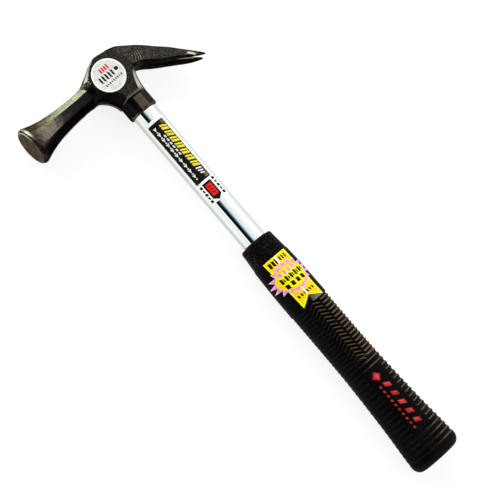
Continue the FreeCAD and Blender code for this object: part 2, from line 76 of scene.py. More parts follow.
class Nodes:
    """A short way to write a node tree of a material or the world."""

    def __init__(self, tree, output):
        self.tree = tree
        self.tree.nodes.clear()
        self.output = self.tree.nodes.new("ShaderNode" + output)

    def add(self, kind, **inputs):
        """A node; keywords in capitals set its own properties, the rest its sockets."""
        node = self.tree.nodes.new("ShaderNode" + kind)
        for key, value in inputs.items():
            if key.isupper():
                setattr(node, key.lower(), value)
            else:
                self.link(value, self.socket(node, key))
        return node

    def socket(self, node, key):
        """The input of this name, or of this number where the key is like _0."""
        wanted = key.replace("_", " ").strip()
        if wanted.isdigit():
            return node.inputs[int(wanted)]
        return [s for s in node.inputs if s.name.lower() == wanted.lower() and s.enabled][0]

    def link(self, value, socket):
        """Feeds a socket from a socket, from a node's first output, or with a plain value."""
        if isinstance(value, bpy.types.NodeSocket):
            self.tree.links.new(value, socket)
        elif isinstance(value, bpy.types.Node):
            self.tree.links.new(value.outputs[0], socket)
        else:
            socket.default_value = value

    def maths(self, operation, a, b=0.0):
        node = self.tree.nodes.new("ShaderNodeMath")
        node.operation = operation
        self.link(a, node.inputs[0])
        self.link(b, node.inputs[1])
        return node.outputs[0]

    def plus(self, a, b):
        return self.maths("ADD", a, b)

    def times(self, a, b):
        return self.maths("MULTIPLY", a, b)

    def weighted(self, a, share_a, b, share_b):
        """The sum of two values, each times its share."""
        return self.plus(self.times(a, share_a), self.times(b, share_b))

    def all_of(self, *masks):
        """1 where every mask is 1; a plain number limits the result."""
        joined = masks[0]
        for mask in masks[1:]:
            joined = self.times(joined, mask)
        return joined

    def any_of(self, a, b):
        return self.maths("MAXIMUM", a, b)

    def mix(self, share, a, b):
        """A colour mixed from a to b."""
        node = self.tree.nodes.new("ShaderNodeMix")
        node.data_type = "RGBA"
        self.link(share, node.inputs[0])
        self.link(a, node.inputs[6])
        self.link(b, node.inputs[7])
        return node.outputs[2]

    def step(self, value, low, high, out_low=0.0, out_high=1.0):
        """A smooth step from out_low at low to out_high at high; low may be above high."""
        node = self.tree.nodes.new("ShaderNodeMapRange")
        node.interpolation_type = "SMOOTHSTEP"
        for socket, given in zip(node.inputs, (value, low, high, out_low, out_high)):
            self.link(given, socket)
        return node.outputs[0]

    def between(self, value, low, high, soft):
        """1 where value lies between low and high, with edges that are soft wide on either side."""
        up = self.step(value, low - soft, low + soft)
        down = self.step(value, high - soft, high + soft, 1.0, 0.0)
        return self.times(up, down)


class Material(Nodes):
    """A material, its place coordinates in millimetres, and noise at a chosen grain."""

    def __init__(self, name):
        self.material = bpy.data.materials.new(name)
        self.material.use_nodes = True
        super().__init__(self.material.node_tree, "OutputMaterial")
        self.place = self.add("TexCoord").outputs["Object"]

    def noise(self, grain, detail=4.0, roughness=0.6):
        """Noise whose coarsest lumps are about grain mm across."""
        node = self.add("TexNoise", Vector=self.place, Scale=1 / (grain * MM), Detail=detail,
                        Roughness=roughness)
        return node.outputs[0]

    def axes(self):
        split = self.add("SeparateXYZ", Vector=self.place)
        return [self.maths("DIVIDE", split.outputs[k], MM) for k in range(3)]

    def bump(self, height, distance):
        return self.add("Bump", Distance=distance * MM, Height=height)

    def finish(self, shader):
        self.link(shader, self.output.inputs["Surface"])
        return self.material


# Zones of the head as (from, to) or (from, to, softness): X along the handle, Y from poll to claw,
# Z up. Where the first value is the larger one, the zone lies below it.
DARKER_CHEEK_Y = (15.0, 2.0)
NECK_Y, DARK_NECK_Y = (-17.0, -24.0), (-50.0, -30.0)
SWELL_Y, FLANK_Y, RIDGE_Y, FACE_Y = (-66.0, -50.0, 6.0), (-69.5, -67.5), (-68.5, -64.0), (-70.0, -72.5)
RIM_Y, RIM_X = (-67.5, -70.0), (6.0, -2.0)
COLLAR_X, COLLAR_Z = (17.8, 29.0, 0.6), (16.0, 18.0)
COLLAR_EDGE_X, COLLAR_EDGE_Y = (17.0, 19.0), (12.0, 10.0)
CROWN_Y, CROWN_FLECK_Y, CROWN_ROOT_Y = (4.0, -4.0), (-36.0, -60.0), (-21.0, -29.0)
CROWN_TONE_Y, CROWN_FADE_Y = (-62.0, -44.0), (-69.5, -62.0)
SHOULDER_Y, SHOULDER_Z, SHOULDER_STRIP_FADE_Y = (-21.0, -6.0, 1.0), (20.0, 25.5, 0.7), (-13.0, -19.0)
WEB_X, WEB_Y, WEB_Z = (6.5, 18.0, 2.2), (-1.0, 11.5, 1.6), (19.2, 26.4, 0.9)
TINES_Y, LOWER_TINE_Z, UPPER_TINE_Z = (17.0, 22.0), (17.4, 16.4), (16.4, 17.4)
CREASES_X, CREASES_Y = (-2.2, 4.0, 1.2), (14.2, 21.2, 1.2)

# The claw runs this way in plan; along and across are measured by it
CLAW_X, CLAW_Y = 0.694, 0.72
LIT_LINE_ALONG, LIT_LINE_ACROSS, LIT_LINE_SLOPE = (36.0, 52.5, 1.5), (-10.85, -10.15, 0.2), 0.185
GLINT_ALONG, GLINT_ACROSS = (46.0, 51.6, 0.6), (-19.5, -18.4, 0.3)
TIP_ALONG = (51.5, 55.0)

# Facing, as cosines between the surface and a direction, from the first value to the second
POLL_FLANK, GRIP_FLANK, FACE_ON = (-0.25, -0.5), (0.3, 0.55), (-0.85, -0.95)
LEVEL_SWELL, LEVEL_COLLAR, LEVEL_LIT_LINE = (0.8, 0.93), (0.86, 0.93), (0.5, 0.8)
LIGHT_FROM_GRIP, LIGHT_FROM_CLAW = -0.85, -0.35
LIT_CROWN, UP_CROWN, LIT_SHOULDER = (0.34, 0.52), (0.1, 0.4), (0.6, 0.8)
WEB_TO_CLAW, WEB_UP = (0.25, 0.5), (0.15, 0.35)

# Pointiness at which an edge begins and is full
SHARP, SHARP_COLLAR = (0.505, 0.53), (0.505, 0.535)

CREASE_WAVE, CREASE_LEAN, CREASE_WANDER = 3.2, 0.34, 4.5
SKIN_RELIEF = 0.2
STRIP_DULLNESS = 0.7


class HeadSteel(Material):
    """The steel's coordinates, facing and noise, and the base that its layers are painted on."""

    def __init__(self):
        super().__init__("forged_steel")
        self.x, self.y, self.z = self.axes()
        geometry = self.add("NewGeometry")
        facing = self.add("SeparateXYZ", Vector=geometry.outputs["Normal"])
        self.to_grip, self.to_claw, self.to_top = facing.outputs
        self.edge = geometry.outputs["Pointiness"]
        self.patch = self.noise(5.0, 5.0, 0.65)
        self.grain = self.noise(1.5, 4.0, 0.7)
        self.speck = self.noise(0.8, 2.0, 0.5)
        self.to_light = self.weighted(self.to_grip, LIGHT_FROM_GRIP, self.to_claw, LIGHT_FROM_CLAW)
        self.along = self.weighted(self.x, CLAW_X, self.y, CLAW_Y)
        self.across = self.weighted(self.x, CLAW_Y, self.y, -CLAW_X)
        self.base = self.mix(self.step(self.grain, 0.40, 0.62), colour(37, 34, 31), colour(74, 69, 63))

    def paint(self, tone, *masks):
        """Lays a tone over the base where every mask is 1."""
        self.base = self.mix(self.all_of(*masks), self.base, tone)

    def grain_share(self, low, high, least, most):
        """A share from least to most that follows the grain."""
        return self.step(self.grain, low, high, least, most)


def skin(m):
    """Patches, specks and pits of the forged skin, darker from the claw to the eye."""
    m.paint(colour(46, 43, 43), m.step(m.patch, 0.42, 0.66, 0.0, 0.5))
    m.paint(colour(120, 111, 94), m.step(m.speck, 0.58, 0.68, 0.0, 0.4))
    m.paint(colour(14, 12, 11), m.step(m.speck, 0.42, 0.33, 0.0, 0.85))
    m.paint(colour(24, 22, 21), m.step(m.y, *DARKER_CHEEK_Y, 0.0, 0.45))


def neck_and_bell(m):
    """Painted shade on the neck, darkest by the eye, a painted highlight where it swells into the
    bell, and painted shade on its flanks.
    """
    # Painted shade on the neck by the eye
    m.paint(colour(24, 21, 21), m.step(m.y, *NECK_Y), m.step(m.y, *DARK_NECK_Y, 0.0, 0.75))
    # Painted highlight on the up-facing swell into the bell, mottled by the grain
    m.paint(colour(122, 116, 102), m.between(m.y, *SWELL_Y), m.step(m.to_top, *LEVEL_SWELL),
            m.grain_share(0.36, 0.6, 0.35, 1.0))
    # Painted shade on the flanks facing the grip and on those facing the poll
    flank = m.any_of(m.step(m.to_claw, *POLL_FLANK), m.step(m.to_grip, *GRIP_FLANK))
    m.paint(colour(27, 23, 25), flank, m.step(m.y, *FLANK_Y))
    face_tone = m.mix(m.step(m.patch, 0.35, 0.7), colour(84, 75, 63), colour(111, 100, 84))
    m.paint(face_tone, m.step(m.to_claw, *FACE_ON), m.step(m.y, *FACE_Y))
    m.paint(colour(15, 13, 13), m.step(m.edge, *SHARP), m.step(m.y, *RIDGE_Y), 0.8)


def collar(m):
    """Painted light on the collar's upper facets, and painted highlights, partly edge wear, on its
    edges.
    """
    # Painted light: a brown tone on the collar's up-facing facets
    m.paint(colour(98, 84, 72), m.between(m.x, *COLLAR_X), m.step(m.to_top, *LEVEL_COLLAR),
            m.step(m.z, *COLLAR_Z), m.grain_share(0.3, 0.6, 0.35, 0.75))
    # Painted highlight, partly edge wear, along the collar's edges
    m.paint(colour(136, 126, 98), m.step(m.edge, *SHARP_COLLAR), m.step(m.x, *COLLAR_EDGE_X),
            m.step(m.y, *COLLAR_EDGE_Y), m.grain_share(0.3, 0.6, 0.3, 0.8))


def crown(m):
    """A painted highlight on the neck's crown side where it faces the light, and a painted bright
    strip on the cheek's shoulder.
    """
    # Painted highlight on the crown side that faces the light
    fleck = m.step(m.speck, 0.40, 0.58, m.step(m.y, *CROWN_FLECK_Y, 0.6, 0.05), 1.0)
    mottled = m.any_of(m.step(m.y, *CROWN_ROOT_Y), m.step(m.speck, 0.46, 0.6))
    tone = m.mix(m.step(m.y, *CROWN_TONE_Y), colour(112, 100, 68), colour(150, 154, 130))
    m.paint(tone, m.step(m.to_light, *LIT_CROWN), m.step(m.to_top, *UP_CROWN), fleck,
            m.step(m.y, *CROWN_Y), mottled, m.step(m.y, *CROWN_FADE_Y, 0.3, 1.0))
    # Painted light on the shoulder that faces the light, and a painted highlight strip along it
    shoulder = m.all_of(m.step(m.to_light, *LIT_SHOULDER), m.between(m.y, *SHOULDER_Y))
    m.paint(m.mix(m.step(m.speck, 0.4, 0.6), colour(34, 31, 28), colour(96, 92, 76)), shoulder)
    m.paint(colour(246, 246, 222), shoulder, m.between(m.z, *SHOULDER_Z),
            m.grain_share(0.3, 0.5, m.step(m.y, *SHOULDER_STRIP_FADE_Y, 0.7, 0.1), 1.0))


def web(m):
    """The web between claw and collar: painted shade on its side facing the claw, with a painted
    highlight strip. Returns the strip.
    """
    # Painted shade on the web's side that faces the claw
    web_shade = m.all_of(m.between(m.x, *WEB_X), m.between(m.y, *WEB_Y), m.step(m.to_claw, *WEB_TO_CLAW))
    m.paint(colour(18, 16, 15), web_shade)
    # Painted highlight strip on the web, mottled by the grain
    strip = m.all_of(web_shade, m.between(m.z, *WEB_Z), m.step(m.to_top, *WEB_UP),
                     m.grain_share(0.34, 0.56, 0.7, 1.0))
    m.paint(colour(234, 236, 212), strip)
    return strip


def claw(m):
    """Painted shade inside the notch and under the claw, a painted highlight line on the lower tine,
    and painted highlights on the face's rim and the upper tine.
    """
    # Painted shade on the lower tine, inside the notch and under the claw
    lower = m.all_of(m.step(m.y, *TINES_Y), m.step(m.z, *LOWER_TINE_Z))
    m.paint(colour(12, 11, 11), lower, 0.9)
    # Painted highlight line along the lower tine's top edge
    slant = m.plus(m.across, m.times(m.along, LIT_LINE_SLOPE))
    m.paint(colour(150, 134, 100), m.between(m.along, *LIT_LINE_ALONG), m.between(slant, *LIT_LINE_ACROSS),
            lower, m.step(m.to_top, *LEVEL_LIT_LINE))
    m.paint(colour(20, 18, 17), m.step(m.along, *TIP_ALONG), 0.8)
    # Painted glint on the upper tine, and a painted highlight on the face's rim on its crown side
    glint = m.all_of(m.between(m.along, *GLINT_ALONG), m.between(m.across, *GLINT_ACROSS),
                     m.step(m.z, *UPPER_TINE_Z))
    rim = m.all_of(m.step(m.y, *RIM_Y), m.step(m.edge, *SHARP), m.step(m.x, *RIM_X))
    m.paint(colour(216, 218, 198), m.any_of(rim, glint), m.grain_share(0.3, 0.55, 0.4, 1.0))


def creases(m):
    """Forging creases across the cheek where the claw was drawn out, with a painted highlight on their
    crests and painted shade in their troughs. Returns their crests.
    """
    zone = m.all_of(m.between(m.y, *CREASES_Y), m.between(m.x, *CREASES_X))
    sway = m.weighted(m.x, CREASE_LEAN, m.patch, CREASE_WANDER)
    wave = m.maths("SINE", m.times(m.plus(m.y, sway), CREASE_WAVE))
    # Painted highlight on the crests and painted shade in the troughs
    crest = m.all_of(zone, m.step(wave, 0.0, 0.9))
    m.paint(colour(128, 118, 98), crest, m.grain_share(0.35, 0.6, 0.15, 0.8))
    m.paint(colour(22, 20, 19), zone, m.step(wave, 0.0, -0.8), 0.8)
    return crest


def forged_steel():
    """Black oxide over a forged skin, with painted light: lighter on up-facing facets, painted shade
    on the flanks and in the notch, painted highlights on lit facets and edges, partly edge wear.
    """
    m = HeadSteel()
    for layer in (skin, neck_and_bell, collar, crown):
        layer(m)
    strip = web(m)
    claw(m)
    crest = creases(m)
    height = m.plus(m.weighted(m.grain, 0.9, m.speck, 0.5), m.times(crest, 0.8))
    rough = m.step(m.patch, 0.3, 0.7, 0.27, 0.38)
    # The painted highlight strip is made less metallic, so that it takes diffuse light
    metal = m.maths("SUBTRACT", 1.0, m.times(strip, STRIP_DULLNESS))
    shader = m.add("BsdfPrincipled", Base_Color=m.base, Metallic=metal, Roughness=rough,
                   Specular_Tint=grey(0.35), Normal=m.bump(height, SKIN_RELIEF))
    return m.finish(shader)


# Painted reflection: the chrome's colour is greyer on its sides and underneath, by degrees round from
# straight up
GREY_REFLECTION_POLL_SIDE, GREY_REFLECTION_CLAW_SIDE = (-61, -80), (34, 50)


def tube_chrome():
    m = Material("tube_chrome")
    y, z = m.axes()[1:]
    smear = m.noise(11.0)
    haze = m.noise(2.0)
    rough = m.step(smear, 0.3, 0.75, 0.02, 0.05)
    base = m.mix(m.step(smear, 0.4, 0.7), colour(240, 241, 240), colour(234, 236, 236))
    turn = m.maths("DEGREES", m.maths("ARCTAN2", y, m.maths("SUBTRACT", z, AXIS_UP / MM)))
    # Painted reflection: a greyer colour on the tube's sides and underneath
    grey_reflection = m.any_of(m.step(turn, *GREY_REFLECTION_POLL_SIDE), m.step(turn, *GREY_REFLECTION_CLAW_SIDE))
    base = m.mix(grey_reflection, base, colour(196, 205, 197))
    shader = m.add("BsdfPrincipled", Base_Color=base, Metallic=1.0, Roughness=rough,
                   Normal=m.bump(haze, 0.004))
    return m.finish(shader)


def plug_steel():
    m = Material("plug_steel")
    grain = m.noise(1.4, 3.0)
    base = m.mix(grain, colour(112, 110, 106), colour(150, 148, 144))
    shader = m.add("BsdfPrincipled", Base_Color=base, Metallic=1.0, Roughness=0.35,
                   Normal=m.bump(grain, 0.05))
    return m.finish(shader)


# The grip's plain form, with the values of the solid
GRIP_START = GRIP_LOW.x / MM
GRIP_LENGTH = (GRIP_HIGH.x - GRIP_LOW.x) / MM
GRIP_END = GRIP_START + GRIP_LENGTH
TOP_B, TOP_C, MID_B, MID_C, END_B = 11.8, 11.7, 13.9, 13.0, 18.4
END_THICKNESS_SHARE = 0.02
PROUD = 0.3
PROUD_START, PROUD_END = 154.8, 192.7

# Zones of the rubber: pebbled above the smooth panel, a painted highlight on the raised pad's end
# below the film, plain at the butt
PEBBLED_X = (PROUD_START - 0.4, PROUD_START - 1.2)
PAD_HIGHLIGHT_X, PAD_HIGHLIGHT_Y, PAD_HIGHLIGHT_CORNER = (188.0, PROUD_END, 0.5), (-0.5, 9.0, 0.8), (187.5, 200.0)
BUTT_X = (GRIP_END - 5.0, GRIP_END - 3.5)
RUBBER_SHINE = 0.035
RUBBER_RELIEF = 0.16


def grip_rubber():
    """Black rubber, pebbled at the top, with a painted tan highlight on the head-side edges of its
    ribs, mottled by dust.
    """
    m = Material("grip_rubber")
    x, y = m.axes()[:2]
    dust = m.noise(9.0, 5.0, 0.65)
    pores = m.noise(0.5, 2.0, 0.5)
    pebble = m.noise(1.3, 1.0, 0.4)
    pebbled = m.step(x, *PEBBLED_X)
    rib_highlight = m.add("Attribute", ATTRIBUTE_NAME="rib_highlight").outputs["Fac"]
    pad_highlight = m.all_of(m.between(x, *PAD_HIGHLIGHT_X), m.between(y, *PAD_HIGHLIGHT_Y),
                       m.step(m.plus(x, y), *PAD_HIGHLIGHT_CORNER, 0.3, 1.0))
    base = m.mix(m.step(dust, 0.4, 0.7), colour(4, 3, 4), colour(10, 8, 10))
    base = m.mix(m.all_of(pebbled, m.step(pebble, 0.63, 0.72, 0.0, 0.4)), base, colour(104, 80, 58))
    # Painted highlight on the raised pad's end below the film
    base = m.mix(m.all_of(pad_highlight, m.step(pores, 0.3, 0.6, 0.3, 0.9)), base, colour(158, 154, 146))
    base = m.mix(m.all_of(m.step(x, *BUTT_X), 0.8), base, colour(24, 20, 23))
    # Painted tan highlight on the ribs' edges, mottled by dust
    base = m.mix(m.all_of(rib_highlight, m.step(dust, 0.25, 0.6, 0.75, 1.0)), base, colour(150, 123, 92))
    height = m.plus(m.times(pores, 0.25), m.all_of(pebbled, m.step(pebble, 0.35, 0.75)))
    rough = m.step(dust, 0.3, 0.7, 0.46, 0.6)
    shader = m.add("BsdfPrincipled", Base_Color=base, Roughness=rough, Specular_IOR_Level=RUBBER_SHINE,
                   Normal=m.bump(height, RUBBER_RELIEF))
    return m.finish(shader)


INK_ROUGHNESS, INK_SHINE = 0.38, 0.12
INK_RELIEF = 0.02
INK_FADE = 0.86


def printed(name, base, faded=None):
    """Ink on film: a colour with faint blotches and fibres, and a slight orange peel."""
    m = Material(name)
    blotch = m.noise(3.5)
    fibre = m.noise(0.35, 2.0)
    other = faded or tuple(INK_FADE * v for v in base[:3]) + (1.0,)
    shade = m.mix(m.step(blotch, 0.35, 0.7), base, other)
    shader = m.add("BsdfPrincipled", Base_Color=shade, Roughness=INK_ROUGHNESS,
                   Specular_IOR_Level=INK_SHINE, Normal=m.bump(fibre, INK_RELIEF))
    return m.finish(shader)


def ink_set(kind, **tones):
    """Inks by name, each from the display values of its tone and, where given, its faded tone."""
    return {name: printed(f"{kind}_{name}", *(colour(*tone) for tone in pair))
            for name, pair in tones.items()}


def give(obj, material):
    obj.data.materials.clear()
    obj.data.materials.append(material)


def new_object(name, data):
    obj = bpy.data.objects.new(name, data)
    bpy.context.scene.collection.objects.link(obj)
    return obj


def dress(piece, slot, *nodes):
    """The piece rides with the hammer and stands for the nodes; slot is not used."""
    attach(piece, "root")
    if nodes:
        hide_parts(*nodes)


def grid_mesh(name, rows):
    """A mesh of quads over rows of points; each row closes on itself."""
    count, across = rows.shape[:2]
    index = np.arange(count * across).reshape(count, across)
    following = np.roll(index, -1, axis=1)
    faces = np.stack([index[:-1], following[:-1], following[1:], index[1:]], axis=-1).reshape(-1, 4)
    mesh = bpy.data.meshes.new(name)
    mesh.from_pydata(rows.reshape(-1, 3).tolist(), [], faces.tolist())
    mesh.shade_smooth()
    return mesh


def edit(mesh, change):
    """Runs change on the mesh as a bmesh and writes it back."""
    bm = bmesh.new()
    bm.from_mesh(mesh)
    change(bm)
    bm.to_mesh(mesh)
    bm.free()


def close_rows(mesh, ring):
    """Joins the last row of a grid mesh to its first, so that the skin is closed."""
    def join(bm):
        bm.verts.ensure_lookup_table()
        total = len(bm.verts)
        for k in range(ring):
            following = (k + 1) % ring
            corners = (total - ring + k, total - ring + following, following, k)
            bm.faces.new([bm.verts[c] for c in corners])
        bmesh.ops.recalc_face_normals(bm, faces=bm.faces)
        for face in bm.faces:
            face.smooth = True
    edit(mesh, join)


WELD = 0.001 * MM
VOXEL = 0.42 * MM
SOFTENING = 5
SOFTENING_SHARE = 0.5

# The foot of the neck and its crown side, as Y from and to, X beyond, and passes of smoothing
ROOT_FROM, ROOT_TO, ROOT_SIDE, ROOT_PASSES = -31.0, -14.0, 2.5, 30
CROWN_FROM, CROWN_TO, CROWN_PASSES = -29.0, -18.5, 18

# The tines' middle line across the claw, where their narrowing begins and ends, and its share
TINE_MIDDLE, TINE_SLOPE, TINE_SPREAD, TINE_ALONG = -18.15, -0.18, 1.5, 42
NARROWING_ALONG, NARROWING_SHARE, NARROWING_FROM_Y = (30, 50), 0.26, 20


def head_piece():
    """The CAD head, remeshed finely and softened at its edges as a forging is."""
    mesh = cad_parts["head"].data.copy()
    head = new_object("head_forging", mesh)
    edit(mesh, lambda bm: bmesh.ops.remove_doubles(bm, verts=bm.verts, dist=WELD))
    remesh = head.modifiers.new("remesh", "REMESH")
    remesh.mode = "VOXEL"
    remesh.voxel_size = VOXEL
    soften = head.modifiers.new("soften", "SMOOTH")
    soften.factor = SOFTENING_SHARE
    soften.iterations = SOFTENING
    bpy.context.view_layer.update()
    done = bpy.data.meshes.new_from_object(head.evaluated_get(bpy.context.evaluated_depsgraph_get()))
    head.modifiers.clear()
    head.data = done
    edit(done, blend_root)
    sharpen_tines(done)
    done.shade_smooth()
    return head


def blend_root(bm):
    """Runs the foot of the neck into the web and the crown of the cheek without a step."""
    low = [v for v in bm.verts if ROOT_FROM < v.co.y / MM < ROOT_TO and v.co.x / MM > ROOT_SIDE]
    high = [v for v in bm.verts if CROWN_FROM < v.co.y / MM < CROWN_TO and v.co.x / MM < -ROOT_SIDE]
    for verts, passes in ((low, ROOT_PASSES), (high, CROWN_PASSES)):
        for _ in range(passes):
            bmesh.ops.smooth_vert(bm, verts=verts, factor=SOFTENING_SHARE, use_axis_x=True,
                                  use_axis_y=True, use_axis_z=True)


def sharpen_tines(mesh):
    """Narrows the claw's two tines towards their tips, the upper one away from the handle."""
    places = np.empty(len(mesh.vertices) * 3)
    mesh.vertices.foreach_get("co", places)
    places = places.reshape(-1, 3) / MM
    x, y, up = places[:, 0], places[:, 1], places[:, 2] - AXIS_UP / MM
    along = CLAW_X * x + CLAW_Y * y
    across = CLAW_Y * x - CLAW_X * y
    middle = TINE_MIDDLE + TINE_SLOPE * (along - TINE_ALONG) - TINE_SPREAD * np.sign(up)
    share = NARROWING_SHARE * smoothstep(*NARROWING_ALONG, along) * (y > NARROWING_FROM_Y)
    places[:, 0] += CLAW_Y * (middle - across) * share
    places[:, 1] -= CLAW_X * (middle - across) * share
    mesh.vertices.foreach_set("co", (places * MM).ravel())
    mesh.update()


TUBE_RADIUS = 8.65
TUBE_WALL = 1.8
FLARE, FLARE_LENGTH, FLARE_RING = 0.36, 5.8, 1.5
TUBE_EDGE, MOUTH_EDGE = 0.25, 0.3
TUBE_SEGMENTS = 180


def tube_piece():
    """The chromed tube as a closed turned skin, its edges broken by small bevels."""
    top = TUBE_LOW.x / MM
    end = TUBE_HIGH.x / MM
    bore = TUBE_RADIUS - TUBE_WALL
    flare_end = top + FLARE_LENGTH
    profile = [
        (top, bore + FLARE + MOUTH_EDGE), (top, TUBE_RADIUS + FLARE - TUBE_EDGE),
        (top + TUBE_EDGE, TUBE_RADIUS + FLARE), (flare_end, TUBE_RADIUS),
        (top + FLARE_LENGTH * FLARE_RING, TUBE_RADIUS), (end - TUBE_EDGE, TUBE_RADIUS),
        (end, TUBE_RADIUS - TUBE_EDGE), (end, bore + TUBE_EDGE), (end - TUBE_EDGE, bore),
        (flare_end, bore), (top + MOUTH_EDGE, bore + FLARE),
    ]
    angles = np.linspace(0, 2 * math.pi, TUBE_SEGMENTS, endpoint=False)
    rows = [[(x, r * math.cos(a), r * math.sin(a)) for a in angles] for x, r in profile]
    points = np.array(rows) * MM
    points[..., 2] += AXIS_UP
    mesh = grid_mesh("chromed_tube", points)
    close_rows(mesh, TUBE_SEGMENTS)
    return new_object("chromed_tube", mesh)


# Share of the grip's length, then how far it has grown to its middle size and to its end size
GRIP_SHARES = np.array((
    (0.012, 0.00, 0.00), (0.035, 0.20, 0.00), (0.060, 0.42, 0.00), (0.095, 0.62, 0.00),
    (0.130, 0.77, 0.00), (0.200, 0.93, 0.00), (0.290, 1.00, 0.00), (0.450, 1.00, 0.00),
    (0.580, 1.00, 0.05), (0.694, 1.00, 0.25), (0.806, 1.00, 0.50), (0.884, 1.00, 0.76),
    (0.935, 1.00, 0.94), (0.966, 1.00, 1.00),
))
BLUR_REACH, BLUR_SAMPLES = 4.65, 31
END_ROUNDING, END_RINGS = 5.2, 16
TOP_ROUNDING, TOP_RINGS = 1.4, 8
MOUTH_SHARE, MOUTH_DEPTHS = 1.004, (3.0, 1.0, 0.0)
BUTT_SHARES = (0.75, 0.5, 0.25, 0.02)
FILM = 0.15

# The relief: fine ribs and chevrons by the label, wide ribs beyond, low ribs on the poll side
GROOVE_DEPTH, GROOVE_SOFT = 0.9, 0.22
FINE_START, FINE_PITCH, FINE_GAP, FINE_COUNT = 193.6, 2.853, 1.4, 17
SIDE_COLUMN, CHEVRON_FAR, APEX, CHEVRON_NEAR = 3.2, 2.4, -2.3, -6.2
RISE, FALL = 2.4, 2.2
LINE_DEPTH_SHARE, LINE_REACH, LINE_SOFT = 0.75, 1, 0.4
WIDE_START, WIDE_PITCH, WIDE_GAP, WIDE_COUNT = 242.5, 3.784, 2.0, 19
WIDE_SIDE, CROSS_SIDE, BUTT_SIDE = 7.6, -6.2, 1.0
CROSS_COUNT, BUTT_COUNT = 2, 4
LOW_SIDE, LOW_SOFT, LOW_DEPTH = -7.3, 0.4, 0.28

# The edges with a painted highlight: their place after a groove's middle, their width, and how bright
# each is painted
EDGE_OFFSET, EDGE_WIDTH = 0.95, 0.75
SIDE_LIT, RIGHT_LIT, LEFT_LIT, WIDE_LIT, LOW_LIT = 0.42, 0.27, 0.03, 0.32, 0.012
CROSS_LIT, BUTT_LIT, FAINT_LIT = 0.27, 0.10, 0.03
SIDE_LIT_Y, WIDE_LIT_Y = (SIDE_COLUMN + 0.5, SIDE_COLUMN + 1.0), (WIDE_SIDE - 0.6, WIDE_SIDE)
CROSS_LIT_Y, CROSS_FAINT_Y = (-2.5, 1.5), (-9.0, -3.0)
BUTT_LIT_Y, BUTT_FAINT_Y, LOW_LIT_Y = (-1.0, 7.0), (-8.0, -3.0), (-13.6, -8.0)
UNDER_LIT, LIT_FACING_UP = 0.1, (0.02, 0.42)


def grip_halves(x):
    """Half width and half thickness of the plain grip at x, in mm, as smoothed arrays."""
    spread = np.linspace(-BLUR_REACH, BLUR_REACH, BLUR_SAMPLES)
    places = GRIP_START + GRIP_LENGTH * GRIP_SHARES[:, 0]
    sampled = np.asarray(x, float)[..., None] + spread
    middle = np.interp(sampled, places, GRIP_SHARES[:, 1]).mean(axis=-1)
    end = np.interp(sampled, places, GRIP_SHARES[:, 2]).mean(axis=-1)
    b = TOP_B + (MID_B - TOP_B) * middle + (END_B - MID_B) * end
    c = TOP_C + (MID_C - TOP_C) * middle + MID_C * END_THICKNESS_SHARE * end
    return b, c


def beyond(value, low, soft):
    """0 below low and 1 above it, with an edge that is soft wide on either side."""
    return smoothstep(low - soft, low + soft, value)


def band(value, low, high, soft):
    return beyond(value, low, soft) * (1 - beyond(value, high, soft))


def groove_set(place, start, pitch, width, count):
    """1 in each of count grooves centred from start on, a pitch apart."""
    nearest = np.clip(np.round((place - start) / pitch), 0, count - 1)
    away = np.abs(place - start - nearest * pitch)
    return 1 - beyond(away, width / 2, GROOVE_SOFT)


